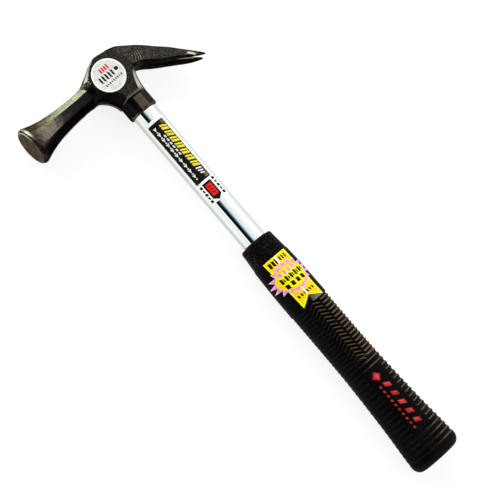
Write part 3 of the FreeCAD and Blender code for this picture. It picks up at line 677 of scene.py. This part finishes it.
def relief(x, y):
    """Depth of the grooves in mm, and the share of painted tan highlight at each spot."""
    fine_end = FINE_START + FINE_PITCH * (FINE_COUNT - 1)
    fine = (FINE_START, FINE_PITCH, FINE_GAP, FINE_COUNT)
    side = groove_set(x, *fine) * beyond(y, SIDE_COLUMN, GROOVE_SOFT)
    right_slide = (CHEVRON_FAR - y) / (CHEVRON_FAR - APEX) * RISE - FINE_PITCH / 2
    on_right = band(y, APEX, CHEVRON_FAR, GROOVE_SOFT)
    right = groove_set(x + right_slide, *fine) * on_right
    left_slide = RISE - (APEX - y) / (APEX - CHEVRON_NEAR) * FALL - FINE_PITCH / 2
    on_left = band(y, CHEVRON_NEAR, APEX, GROOVE_SOFT)
    left = groove_set(x + left_slide, *fine) * on_left
    line = band(y, CHEVRON_FAR, SIDE_COLUMN, GROOVE_SOFT)
    line = line * band(x, FINE_START - LINE_REACH, fine_end + LINE_REACH, LINE_SOFT)
    middle_count = WIDE_COUNT - CROSS_COUNT - BUTT_COUNT
    middle_start = WIDE_START + WIDE_PITCH * CROSS_COUNT
    butt_start = middle_start + WIDE_PITCH * middle_count
    wide = (WIDE_PITCH, WIDE_GAP)
    cross = groove_set(x, WIDE_START, *wide, CROSS_COUNT) * beyond(y, CROSS_SIDE, GROOVE_SOFT)
    middle = groove_set(x, middle_start, *wide, middle_count) * beyond(y, WIDE_SIDE, GROOVE_SOFT)
    butt = groove_set(x, butt_start, *wide, BUTT_COUNT) * beyond(y, BUTT_SIDE, GROOVE_SOFT)
    depth = np.maximum.reduce([side, right, left, LINE_DEPTH_SHARE * line, cross, middle, butt])
    low = np.maximum(groove_set(x, *fine), groove_set(x, WIDE_START, *wide, WIDE_COUNT))
    on_poll_side = 1 - beyond(y, LOW_SIDE, LOW_SOFT)
    depth = np.maximum(depth * GROOVE_DEPTH, low * on_poll_side * LOW_DEPTH)

    # Painted highlight on the edge of each rib that faces the head
    fine = (FINE_START + EDGE_OFFSET, FINE_PITCH, EDGE_WIDTH, FINE_COUNT)
    start = WIDE_START + EDGE_OFFSET
    wide = (WIDE_PITCH, EDGE_WIDTH)
    fine_edges = groove_set(x, *fine)
    wide_edges = groove_set(x, start, *wide, WIDE_COUNT)
    cross_edges = groove_set(x, start - WIDE_PITCH, *wide, CROSS_COUNT + 1)
    butt_edges = groove_set(x, start + WIDE_PITCH * (WIDE_COUNT - BUTT_COUNT), *wide, BUTT_COUNT)
    across = FAINT_LIT * smoothstep(*CROSS_FAINT_Y, y) + CROSS_LIT * smoothstep(*CROSS_LIT_Y, y)
    at_butt = FAINT_LIT * smoothstep(*BUTT_FAINT_Y, y) + BUTT_LIT * smoothstep(*BUTT_LIT_Y, y)
    rib_highlight = np.maximum.reduce([
        SIDE_LIT * fine_edges * smoothstep(*SIDE_LIT_Y, y),
        RIGHT_LIT * groove_set(x + right_slide, *fine) * on_right,
        LEFT_LIT * groove_set(x + left_slide, *fine) * on_left,
        cross_edges * across,
        WIDE_LIT * wide_edges * smoothstep(*WIDE_LIT_Y, y),
        butt_edges * at_butt,
        LOW_LIT * np.maximum(fine_edges, wide_edges) * band(y, *LOW_LIT_Y, LOW_SOFT),
    ])
    return depth, rib_highlight


GRIP_AROUND = 320
GRIP_STEP = 0.28
PROUD_SOFT = 0.3
SIDE_SHALLOWING, SHALLOW_SIDE = 0.45, (0.75, 1.0)


def grip_piece():
    """The grip as a skin: rounded mouth, ribbed shape, rounded butt."""
    first = GRIP_START + GRIP_LENGTH * GRIP_SHARES[0, 0]
    last = GRIP_START + GRIP_LENGTH * GRIP_SHARES[-1, 0]
    straight = np.linspace(first, last, round((last - first) / GRIP_STEP))
    b, c = grip_halves(straight)
    raised = PROUD * band(straight, PROUD_START, PROUD_END, PROUD_SOFT)
    b, c = b + raised, c + raised
    angles = np.linspace(0, 2 * math.pi, GRIP_AROUND, endpoint=False)
    x = straight[:, None]
    sin, cos = np.sin(angles)[None, :], np.cos(angles)[None, :]
    y = b[:, None] * sin
    depth, rib_highlight = relief(x, y)
    # The painted highlight is strongest on the up-facing side of the grip
    rib_highlight = rib_highlight * (UNDER_LIT + (1 - UNDER_LIT) * smoothstep(*LIT_FACING_UP, cos))
    depth = depth * (1 - SIDE_SHALLOWING * smoothstep(*SHALLOW_SIDE, np.abs(sin)))
    shape = np.stack([np.broadcast_to(x, y.shape), y, c[:, None] * cos], axis=-1)
    normal = np.stack([np.zeros_like(y), sin * c[:, None], cos * b[:, None]], axis=-1)
    normal /= np.linalg.norm(normal, axis=-1, keepdims=True)
    shape = shape - normal * depth[..., None]

    def ring(place, half_b, half_c):
        return [(place, half_b * math.sin(a), half_c * math.cos(a)) for a in angles]

    mouth_radius = TUBE_RADIUS * MOUTH_SHARE
    rows = [ring(GRIP_START + deep, mouth_radius, mouth_radius) for deep in MOUTH_DEPTHS]
    for turn in np.linspace(0, math.pi / 2, TOP_RINGS)[:-1]:
        inset = TOP_ROUNDING * (1 - math.sin(turn))
        place = GRIP_START + (first - GRIP_START) * (1 - math.cos(turn))
        rows.append(ring(place, b[0] - inset, c[0] - inset))
    top = np.array(rows)
    rows = []
    for turn in np.linspace(0, math.pi / 2, END_RINGS)[1:]:
        inset = END_ROUNDING * (1 - math.cos(turn))
        place = last + (GRIP_END - last) * math.sin(turn)
        rows.append(ring(place, b[-1] - inset, c[-1] - inset))
    for share in BUTT_SHARES:
        rows.append(ring(GRIP_END, share * (b[-1] - END_ROUNDING), share * (c[-1] - END_ROUNDING)))
    end = np.array(rows)
    points = np.concatenate([top, shape, end]) * MM
    points[..., 2] += AXIS_UP
    mesh = grid_mesh("grip_rubber_sleeve", points)
    shade = np.zeros(points.shape[:2])
    shade[len(top):len(top) + len(shape)] = rib_highlight
    stored = mesh.attributes.new("rib_highlight", "FLOAT", "POINT")
    stored.data.foreach_set("value", shade.ravel())
    return new_object("grip_rubber_sleeve", mesh)


def inside(points, outline):
    """Which points lie in the outline, by counting crossings."""
    x, y = points[:, 0], points[:, 1]
    found = np.zeros(len(points), bool)
    for (x0, y0), (x1, y1) in zip(outline, np.roll(outline, -1, axis=0)):
        spans = (y0 > y) != (y1 > y)
        if y0 != y1:
            found ^= spans & (x < (x1 - x0) * (y - y0) / (y1 - y0) + x0)
    return found


def in_steps(outline, longest):
    """The outline with its long sides cut into steps, so that it can follow a curved surface."""
    points = []
    for (x0, y0), (x1, y1) in zip(outline, outline[1:] + outline[:1]):
        count = max(1, math.ceil(math.hypot(x1 - x0, y1 - y0) / longest))
        points += [(x0 + (x1 - x0) * k / count, y0 + (y1 - y0) * k / count) for k in range(count)]
    return points


CUT_TOLERANCE = 1e-4


def cut_prints(outlines, spacing):
    """Flat points, triangles and the number of the topmost outline over each triangle."""
    corners = []
    edges = []
    for outline in outlines:
        first = len(corners)
        count = len(outline)
        corners += outline
        edges += [(first + k, first + (k + 1) % count) for k in range(count)]
    flat = np.array(corners)
    low, high = flat.min(axis=0), flat.max(axis=0)
    filling = np.meshgrid(np.arange(low[0], high[0], spacing), np.arange(low[1], high[1], spacing))
    corners += [tuple(p) for p in np.stack(filling, axis=-1).reshape(-1, 2)]
    cut = delaunay_2d_cdt([Vector(p) for p in corners], edges, [], 0, CUT_TOLERANCE)
    flat = np.array([tuple(v) for v in cut[0]])
    triangles = np.array(cut[2])
    centres = flat[triangles].mean(axis=1)
    chosen = np.full(len(triangles), -1)
    for k, outline in enumerate(outlines):
        chosen[inside(centres, np.array(outline))] = k
    triangles, chosen = triangles[chosen >= 0], chosen[chosen >= 0]
    used = np.unique(triangles)
    number = np.full(len(flat), -1)
    number[used] = np.arange(len(used))
    return flat[used], number[triangles], chosen


def open_edges(triangles):
    """The edges that only one triangle has, in a steady order."""
    sides = {(a, b) for t in triangles.tolist() for a, b in zip(t, t[1:] + t[:1])}
    return sorted((a, b) for a, b in sides if (b, a) not in sides)


def printed_film(name, surface, prints, spacing, thickness):
    """A closed thin film laid on a surface, with its prints cut into its mesh.

    surface maps flat places to points and normals in mm. prints are (outline, material) pairs, the
    lowest first; what none of them covers is left out.
    """
    outlines = [in_steps(outline, spacing) for outline, _ in prints]
    flat, triangles, chosen = cut_prints(outlines, spacing)
    points, normals = surface(flat)
    below = points - normals * thickness
    total = len(points)
    walls = open_edges(triangles)
    faces = [tuple(t) for t in triangles] + [tuple(t + total) for t in triangles[:, ::-1]]
    faces += [(b, a, a + total, b + total) for a, b in walls]
    mesh = bpy.data.meshes.new(name)
    mesh.from_pydata((np.concatenate([points, below]) * MM).tolist(), [],
                     [tuple(map(int, f)) for f in faces])
    inks = list(dict.fromkeys(material for _, material in prints))
    for ink in inks:
        mesh.materials.append(ink)
    ink_of_print = np.array([inks.index(material) for _, material in prints])
    on_face = ink_of_print[chosen]
    slots = np.concatenate([on_face, on_face, np.full(len(walls), ink_of_print[0])])
    mesh.polygons.foreach_set("material_index", slots.tolist())
    edit(mesh, lambda bm: bmesh.ops.recalc_face_normals(bm, faces=bm.faces))
    mesh.update()
    return new_object(name, mesh)


def circle(x, y, radius_x, radius_y=None, count=72):
    turns = np.linspace(0, 2 * math.pi, count, endpoint=False)
    return [(x + radius_x * math.cos(t), y + (radius_y or radius_x) * math.sin(t)) for t in turns]


def star(x, y, inner, outer, spikes):
    """A star-burst on an ellipse: spikes from the inner to the outer half axes."""
    outline = []
    for k in range(2 * spikes):
        turn = math.pi * k / spikes
        reach = outer if k % 2 else inner
        outline.append((x + reach[0] * math.cos(turn), y + reach[1] * math.sin(turn)))
    return outline


def sheet(x0, x1, y0, y1):
    return [(x0, y0), (x1, y0), (x1, y1), (x0, y1)]


def bar(x, y, length_x, length_y, lean):
    """A slanted bar centred at (x, y): its far side is shifted along x by lean."""
    a, b, shift = length_x / 2, length_y / 2, lean / 2
    return [(x - a - shift, y - b), (x + a - shift, y - b),
            (x + a + shift, y + b), (x - a + shift, y + b)]


def bars(table, inks, x=0.0, y=0.0):
    """The prints of a table of rows of bars, placed from (x, y).

    A row is its ink, its count, its first centre, its step, and the bars' lengths and lean.
    """
    prints = []
    for ink, count, first, step, shape in table:
        for k in range(count):
            centre = (x + first[0] + step[0] * k, y + first[1] + step[1] * k)
            prints.append((bar(*centre, *shape), inks[ink]))
    return prints


LEAST_RISE = 0.01


def on_cheek(flat):
    up = np.full(len(flat), CHEEK_UP / MM + FILM)
    points = np.column_stack([flat, up])
    return points, np.tile((0.0, 0.0, 1.0), (len(flat), 1))


def on_tube(flat):
    """Places are along the handle and round the tube from its top, both in mm."""
    turn = flat[:, 1] / TUBE_RADIUS
    normals = np.column_stack([np.zeros(len(flat)), np.sin(turn), np.cos(turn)])
    points = normals * (TUBE_RADIUS + FILM)
    points[:, 0] = flat[:, 0]
    points[:, 2] += AXIS_UP / MM
    return points, normals


def on_grip(lift):
    """Places are along the handle and across it, seen from above, in mm."""
    def surface(flat):
        b, c = grip_halves(flat[:, 0])
        raised = np.where(flat[:, 0] < PROUD_END, PROUD, 0) + lift
        b, c = b + raised, c + raised
        up = c * np.sqrt(np.clip(1 - (flat[:, 1] / b) ** 2, LEAST_RISE, 1))
        normals = np.column_stack([np.zeros(len(flat)), flat[:, 1] / b ** 2, up / c ** 2])
        normals /= np.linalg.norm(normals, axis=1, keepdims=True)
        return np.column_stack([flat, up + AXIS_UP / MM]), normals
    return surface


# Films on a curved surface are a little thinner than their lift, so that they don't touch it
CURVED_FILM = FILM * 0.95

CHEEK_CENTRE, CHEEK_RADIUS, CHEEK_WHITE_RADIUS = (0.0, -6.8), 11.3, 10.3
CHEEK_SPACING = 1.6
CHEEK_DOT, CHEEK_DOT_CORNERS = (-0.9, 6.8, 1.4), 18
CHEEK_BARS = (
    ("red", 4, (-5.0, -2.7), (-0.12, 1.85), (3.4, 1.25, 0.9)),
    ("black", 5, (0.1, -6.6), (-0.1, 2.45), (4.2, 1.35, 1.2)),
    ("maroon", 5, (4.9, -5.6), (-0.24, 3.2), (1.5, 0.95, 0.5)),
    ("maroon", 4, (4.78, -4.0), (-0.24, 3.2), (1.0, 0.95, 0.5)),
)


def cheek_sticker():
    """The round sticker on the cheek, with plain bars, dashes and a dot."""
    inks = ink_set("sticker", white=((226, 224, 224), (206, 204, 205)), rim=((252, 252, 250),),
                   black=((14, 12, 12),), red=((222, 30, 40), (196, 60, 66)), maroon=((92, 30, 34),))
    x, y = CHEEK_CENTRE
    dot_x, dot_y, dot_radius = CHEEK_DOT
    prints = [
        (circle(x, y, CHEEK_RADIUS), inks["rim"]),
        (circle(x, y, CHEEK_WHITE_RADIUS), inks["white"]),
        *bars(CHEEK_BARS, inks, x, y),
        (circle(x + dot_x, y + dot_y, dot_radius, count=CHEEK_DOT_CORNERS), inks["black"]),
    ]
    return printed_film("cheek_sticker", on_cheek, prints, CHEEK_SPACING, FILM)


# Where the tube's film and its black panel lie along the handle and, in degrees, round the tube
FILM_X, FILM_TURN = (38.95, 105.25), (-58.5, 40.5)
PANEL_X, PANEL_TURN = (41.1, 89.3), (-55.0, 25.0)
TUBE_SPACING = 1.0
BRONZE_PATCHES, BRONZE_INSET = ((41.8, 44.5, 1.2), (83.8, 88.5, 0.4)), 0.5
PANEL_BARS = (
    ("violet", 7, (47.3, 0.75), (5.05, 0), (4.35, 5.0, 2.0)),
    ("yellow", 7, (47.0, 0.95), (5.05, 0), (3.7, 4.5, 2.0)),
    ("violet", 7, (46.8, 0.95), (5.05, 0), (0.7, 4.5, 2.0)),
    ("pale", 1, (81.0, 0.6), (0, 0), (1.0, 3.8, 1.2)),
    ("pale", 1, (82.9, 0.6), (0, 0), (1.0, 3.2, 1.2)),
    ("pale", 1, (84.8, 0.6), (0, 0), (1.0, 2.6, 1.2)),
    ("pale", 6, (52.0, -2.7), (2.9, 0), (1.9, 1.1, 0.4)),
)
WEDGES, WEDGE_PITCH, WEDGE_X, WEDGE_Y = 10, 4.3, 43.9, -5.1
WEDGE_LENGTH, WEDGE_HALF = 2.7, 1.2
DOT_AFTER, DOT_SIZE, DOT_CORNERS = 3.4, (0.55, 0.6), 12

# The block beyond the panel, across the tube from its middle
BLOCK_SHIFT = 0.3
BLOCK_X, BLOCK_POINT_X, BLOCK_HALF = (91.0, 102.2), 104.9, 3.35
RED_X, RED_HALF = (92.6, 101.2), 2.1
BLOCK_BARS = (
    ("maroon", 3, (94.6, 0), (2.2, 0), (0.8, 2.2, 0.5)),
    ("black", 3, (92.4, -5.1), (5.4, 0), (1.9, 1.9, 0.5)),
    ("black", 2, (95.1, -5.1), (5.4, 0), (1.9, 1.2, 0.5)),
    ("black", 3, (91.4, 5.7), (5.6, 0), (2.0, 2.2, 0.5)),
    ("black", 2, (94.2, 5.7), (5.6, 0), (2.0, 1.4, 0.5)),
)


def tube_sticker():
    """The film on the tube: a black panel with plain marks, and a red block on the white end."""
    inks = ink_set("film", white=((252, 252, 250), (244, 245, 243)), black=((8, 7, 8), (16, 14, 15)),
                   yellow=((246, 228, 16), (232, 208, 14)), pale=((238, 234, 226),),
                   bronze=((120, 112, 84), (60, 56, 46)), red=((240, 34, 18), (222, 28, 16)),
                   maroon=((110, 16, 14),), violet=((50, 42, 84),))
    low, high = (math.radians(turn) * TUBE_RADIUS for turn in FILM_TURN)
    near, far = (math.radians(turn) * TUBE_RADIUS for turn in PANEL_TURN)
    prints = [(sheet(*FILM_X, low, high), inks["white"]), (sheet(*PANEL_X, near, far), inks["black"])]
    for start, end, side in BRONZE_PATCHES:
        prints.append((sheet(start, end, side, far - BRONZE_INSET), inks["bronze"]))
    prints += bars(PANEL_BARS, inks)
    for k in range(WEDGES):
        foot = WEDGE_X + WEDGE_PITCH * k
        wedge = [(foot, WEDGE_Y - WEDGE_HALF), (foot + WEDGE_LENGTH, WEDGE_Y),
                 (foot, WEDGE_Y + WEDGE_HALF)]
        prints.append((wedge, inks["pale"]))
        prints.append((circle(foot + DOT_AFTER, WEDGE_Y, *DOT_SIZE, DOT_CORNERS), inks["pale"]))
    middle = (near + far) / 2 + BLOCK_SHIFT
    start, end = BLOCK_X
    block = [(start, middle - BLOCK_HALF), (end, middle - BLOCK_HALF), (BLOCK_POINT_X, middle),
             (end, middle + BLOCK_HALF), (start, middle + BLOCK_HALF)]
    prints.append((block, inks["black"]))
    prints.append((sheet(*RED_X, middle - RED_HALF, middle + RED_HALF), inks["red"]))
    prints += bars(BLOCK_BARS, inks, 0.0, middle)
    return printed_film("tube_sticker", on_tube, prints, TUBE_SPACING, CURVED_FILM)


# The grip's film: a ribbon with a forked end, and a star-burst round its middle
RIBBON_START, RIBBON_END, RIBBON_FORK, FORK_Y = PROUD_START + 0.2, 192.5, 187.4, -0.5
RIBBON_START_Y, RIBBON_END_Y = (-9.6, 8.0), (-8.0, 8.5)
RIBBON_BORDER, FORK_INSET, NOTCH_INSET = 1.0, 2.4, 0.4
BURST, SPIKES = (171.4, -0.8), 17
BURST_INNER, BURST_OUTER, BURST_PINK = (8.6, 10.8), (11.7, 13.9), (10.9, 12.8)
DISC, DISC_CORE, CORE_SHIFT = (8.3, 10.6), (6.8, 8.8), (0.5, 0.6)
GRIP_SPACING = 1.2
BURST_BARS = (
    ("pink", 4, (-4.6, -5.4), (0, 3.4), (2.8, 2.0, 0.5)),
    ("black", 5, (-0.4, -7.0), (0, 3.5), (3.8, 1.6, 0.6)),
    ("black", 5, (-0.2, -5.4), (0, 3.5), (2.6, 0.9, 0.4)),
    ("black", 4, (4.3, -6.0), (0, 4.0), (3.2, 2.5, 0.6)),
)
RIBBON_BARS = (
    ("black", 3, (158.6, -7.0), (0, 2.4), (3.8, 1.7, 0.7)),
    ("black", 3, (158.4, 0.8), (0, 2.1), (3.0, 1.2, 0.7)),
    ("white", 1, (158.2, -1.3), (0, 0), (5.6, 1.4, 0.0)),
    ("black", 6, (185.0, -6.0), (0, 2.3), (2.0, 1.3, 0.5)),
    ("white", 1, (184.0, -0.5), (0, 0), (5.0, 1.3, 0.0)),
)


def ribbon(inset):
    """The forked ribbon's outline, drawn in by inset."""
    start, end = RIBBON_START + inset, RIBBON_END - inset * FORK_INSET
    return [(start, RIBBON_START_Y[0] + inset), (end, RIBBON_END_Y[0] + inset),
            (RIBBON_FORK - inset * NOTCH_INSET, FORK_Y),
            (end, RIBBON_END_Y[1] - inset), (start, RIBBON_START_Y[1] - inset)]


def grip_sticker():
    """The film on the grip: a forked ribbon, a star-burst and plain bars."""
    inks = ink_set("ribbon", yellow=((255, 246, 6), (252, 238, 8)), black=((14, 10, 8),),
                   amber=((255, 204, 10), (252, 218, 16)), white=((244, 246, 248),))
    inks |= ink_set("burst", pink=((236, 130, 214), (242, 160, 228)), pale_pink=((250, 206, 242),))
    x, y = BURST
    prints = [
        (ribbon(0.0), inks["yellow"]),
        (ribbon(RIBBON_BORDER), inks["amber"]),
        (star(x, y, BURST_INNER, BURST_OUTER, SPIKES), inks["pale_pink"]),
        (star(x, y, BURST_INNER, BURST_PINK, SPIKES), inks["pink"]),
        (circle(x, y, *DISC), inks["amber"]),
        (circle(x + CORE_SHIFT[0], y + CORE_SHIFT[1], *DISC_CORE), inks["yellow"]),
        *bars(BURST_BARS, inks, x, y),
        *bars(RIBBON_BARS, inks),
    ]
    return printed_film("grip_sticker", on_grip(FILM), prints, GRIP_SPACING, CURVED_FILM)


MARK_LIFT, MARK_THICKNESS = 0.09, 0.14
DIAMOND, DIAMOND_RED, DIAMOND_CORAL = (254.4, -1.4), (3.6, 3.1), (2.0, 1.7)
MARK_BARS = (
    ("red", 5, (262.4, 0.9), (7.2, 0), (3.2, 4.2, 2.2)),
    ("coral", 5, (261.8, 0.9), (7.2, 0), (0.8, 3.2, 1.7)),
    ("red", 10, (261.5, -3.9), (3.6, 0), (1.7, 1.3, 0.6)),
)


def diamond(x, y, half_x, half_y):
    return [(x - half_x, y), (x, y - half_y), (x + half_x, y), (x, y + half_y)]


def grip_marks():
    """Plain red slanted bars, dashes and a diamond printed on the smooth front of the grip."""
    inks = ink_set("mark", red=((200, 38, 42), (128, 24, 28)), coral=((216, 84, 76), (180, 48, 48)))
    prints = [
        *bars(MARK_BARS, inks),
        (diamond(*DIAMOND, *DIAMOND_RED), inks["red"]),
        (diamond(*DIAMOND, *DIAMOND_CORAL), inks["coral"]),
    ]
    return printed_film("grip_red_marks", on_grip(MARK_LIFT), prints, GRIP_SPACING, MARK_THICKNESS)


# The studio's radiance round the handle's axis, by degrees from straight up towards the claw's side
SURROUND = (
    (-180, (0.70, 0.74, 0.70)), (-100, (1.00, 1.03, 0.99)), (-72, (0.96, 0.98, 0.95)),
    (-65, (1.05, 1.07, 1.03)), (-57, (1.14, 1.14, 1.12)), (-55, (0.003, 0.003, 0.003)),
    (-33, (0.003, 0.004, 0.005)), (-25, (0.10, 0.15, 0.16)), (-18, (0.42, 0.56, 0.58)),
    (-11, (0.76, 0.91, 0.93)), (-2, (0.88, 0.99, 1.0)), (15, (1.0, 1.02, 1.01)),
    (26, (1.08, 1.07, 1.05)), (60, (1.7, 1.66, 1.62)), (76, (1.25, 1.25, 1.23)),
    (84, (0.86, 0.88, 0.86)), (94, (0.66, 0.69, 0.67)), (180, (0.42, 0.46, 0.42)),
)

# The studio's two ends: their radiance, and where each begins and is full by its direction's X
HEAD_SIDE, HEAD_SIDE_X = (4.3, 4.6, 3.9), (-0.6, -0.9)
GRIP_SIDE, GRIP_SIDE_X = (0.02, 0.02, 0.02), (0.45, 0.85)
BRIGHTEST = 5.0


def studio():
    """World light by direction: stripes round the handle's axis, closed off at its two ends."""
    scene_world = bpy.data.worlds.new("studio")
    bpy.context.scene.world = scene_world
    scene_world.use_nodes = True
    w = Nodes(scene_world.node_tree, "OutputWorld")
    split = w.add("SeparateXYZ", Vector=w.add("TexCoord").outputs["Generated"])
    to_x, to_y, to_z = split.outputs
    share = w.plus(w.maths("DIVIDE", w.maths("ARCTAN2", to_y, to_z), 2 * math.pi), 0.5)
    ramp = w.add("ValToRGB", Fac=share)
    stops = ramp.color_ramp.elements
    while len(stops) < len(SURROUND):
        stops.new(0.5)

    def level(radiance):
        return tuple(v / BRIGHTEST for v in radiance) + (1.0,)

    for stop, (degrees, radiance) in zip(stops, SURROUND):
        stop.position = (degrees + 180) / 360
        stop.color = level(radiance)
    shade = w.mix(w.step(to_x, *HEAD_SIDE_X), ramp.outputs[0], level(HEAD_SIDE))
    shade = w.mix(w.step(to_x, *GRIP_SIDE_X), shade, level(GRIP_SIDE))
    background = w.add("Background", Color=shade, Strength=BRIGHTEST)
    w.link(background, w.output.inputs[0])


FLOOR_HALF = 4.0
FLOOR_DROP = 0.3
PAPER_LIGHT, PAPER_DARK, PAPER_GRAIN = 0.96, 0.92, 30.0
SHADOW_SHARE, GLOW = 0.22, 0.84


def floor_material():
    """White ground, seen nearly burnt out with a faint shadow, also in reflections."""
    m = Material("floor_white")
    ray = m.add("LightPath").outputs
    paper = m.mix(m.noise(PAPER_GRAIN, 3.0), grey(PAPER_DARK), grey(PAPER_LIGHT))
    plain = m.add("BsdfDiffuse", Color=paper)
    faint = m.add("BsdfDiffuse", Color=grey(SHADOW_SHARE))
    glow = m.add("Emission", Color=grey(1.0), Strength=GLOW)
    burnt = m.add("AddShader", _0=faint, _1=glow)
    seen = m.plus(m.plus(ray["Is Camera Ray"], ray["Is Glossy Ray"]), ray["Is Transmission Ray"])
    return m.finish(m.add("MixShader", _0=m.maths("MINIMUM", seen, 1.0), _1=plain, _2=burnt))


def floor():
    mesh = bpy.data.meshes.new("floor")
    corners = [(x, y, 0) for x, y in sheet(-FLOOR_HALF, FLOOR_HALF, -FLOOR_HALF, FLOOR_HALF)]
    mesh.from_pydata(corners, [], [(0, 1, 2, 3)])
    plane = new_object("floor", mesh)
    plane.location.z = -FLOOR_DROP * MM
    give(plane, floor_material())


# The key light, in metres and watts, turned to the frame's origin
KEY_PLACE, KEY_SIZE, KEY_POWER = Vector((-0.9, -0.2, 0.55)), 0.7, 3.0


def key_light():
    data = bpy.data.lights.new("key", "AREA")
    data.size = KEY_SIZE
    data.energy = KEY_POWER
    light = new_object("key", data)
    light.location = KEY_PLACE
    light.rotation_euler = (-KEY_PLACE).to_track_quat("-Z", "Y").to_euler()


# The camera is high on the poll's side, CAMERA_AWAY metres from where it aims
AIM = Vector((141.8, -6.15, 0)) * MM + Vector((0, 0, AXIS_UP))
VIEW = Vector((0.041, -0.354, 1.0)).normalized()
CAMERA_AWAY = 1.2
ROLL = Vector((0.6499, 0.7604)).normalized()
FOCAL_PIXELS = 1884
PHOTO_PIXELS = 500
SENSOR = 36.0


def camera():
    data = bpy.data.cameras.new("camera")
    data.sensor_width = SENSOR
    data.lens = FOCAL_PIXELS / PHOTO_PIXELS * SENSOR
    obj = new_object("camera", data)
    along = (Vector((1, 0, 0)) - VIEW * VIEW.x).normalized()
    across = VIEW.cross(along)
    right = along * ROLL.x + across * ROLL.y
    up = across * ROLL.x - along * ROLL.y
    turn = Matrix((right, up, VIEW)).transposed()
    obj.matrix_world = Matrix.Translation(AIM + VIEW * CAMERA_AWAY) @ turn.to_4x4()
    bpy.context.scene.camera = obj


bpy.context.scene.view_settings.view_transform = "Standard"
studio()
floor()
camera()
key_light()

head = head_piece()
give(head, forged_steel())
dress(head, "forged_steel", "head")

tube = tube_piece()
give(tube, tube_chrome())
dress(tube, "tube_chrome", "handle_tube")

grip = grip_piece()
give(grip, grip_rubber())
dress(grip, "grip_rubber", "grip")

give(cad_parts["eye_plug"], plug_steel())
dress(cheek_sticker(), "cheek_label_paper", "cheek_label")
dress(tube_sticker(), "tube_label_film", "tube_label")
dress(grip_sticker(), "grip_label_film", "grip_label")
dress(grip_marks(), "grip_rubber")
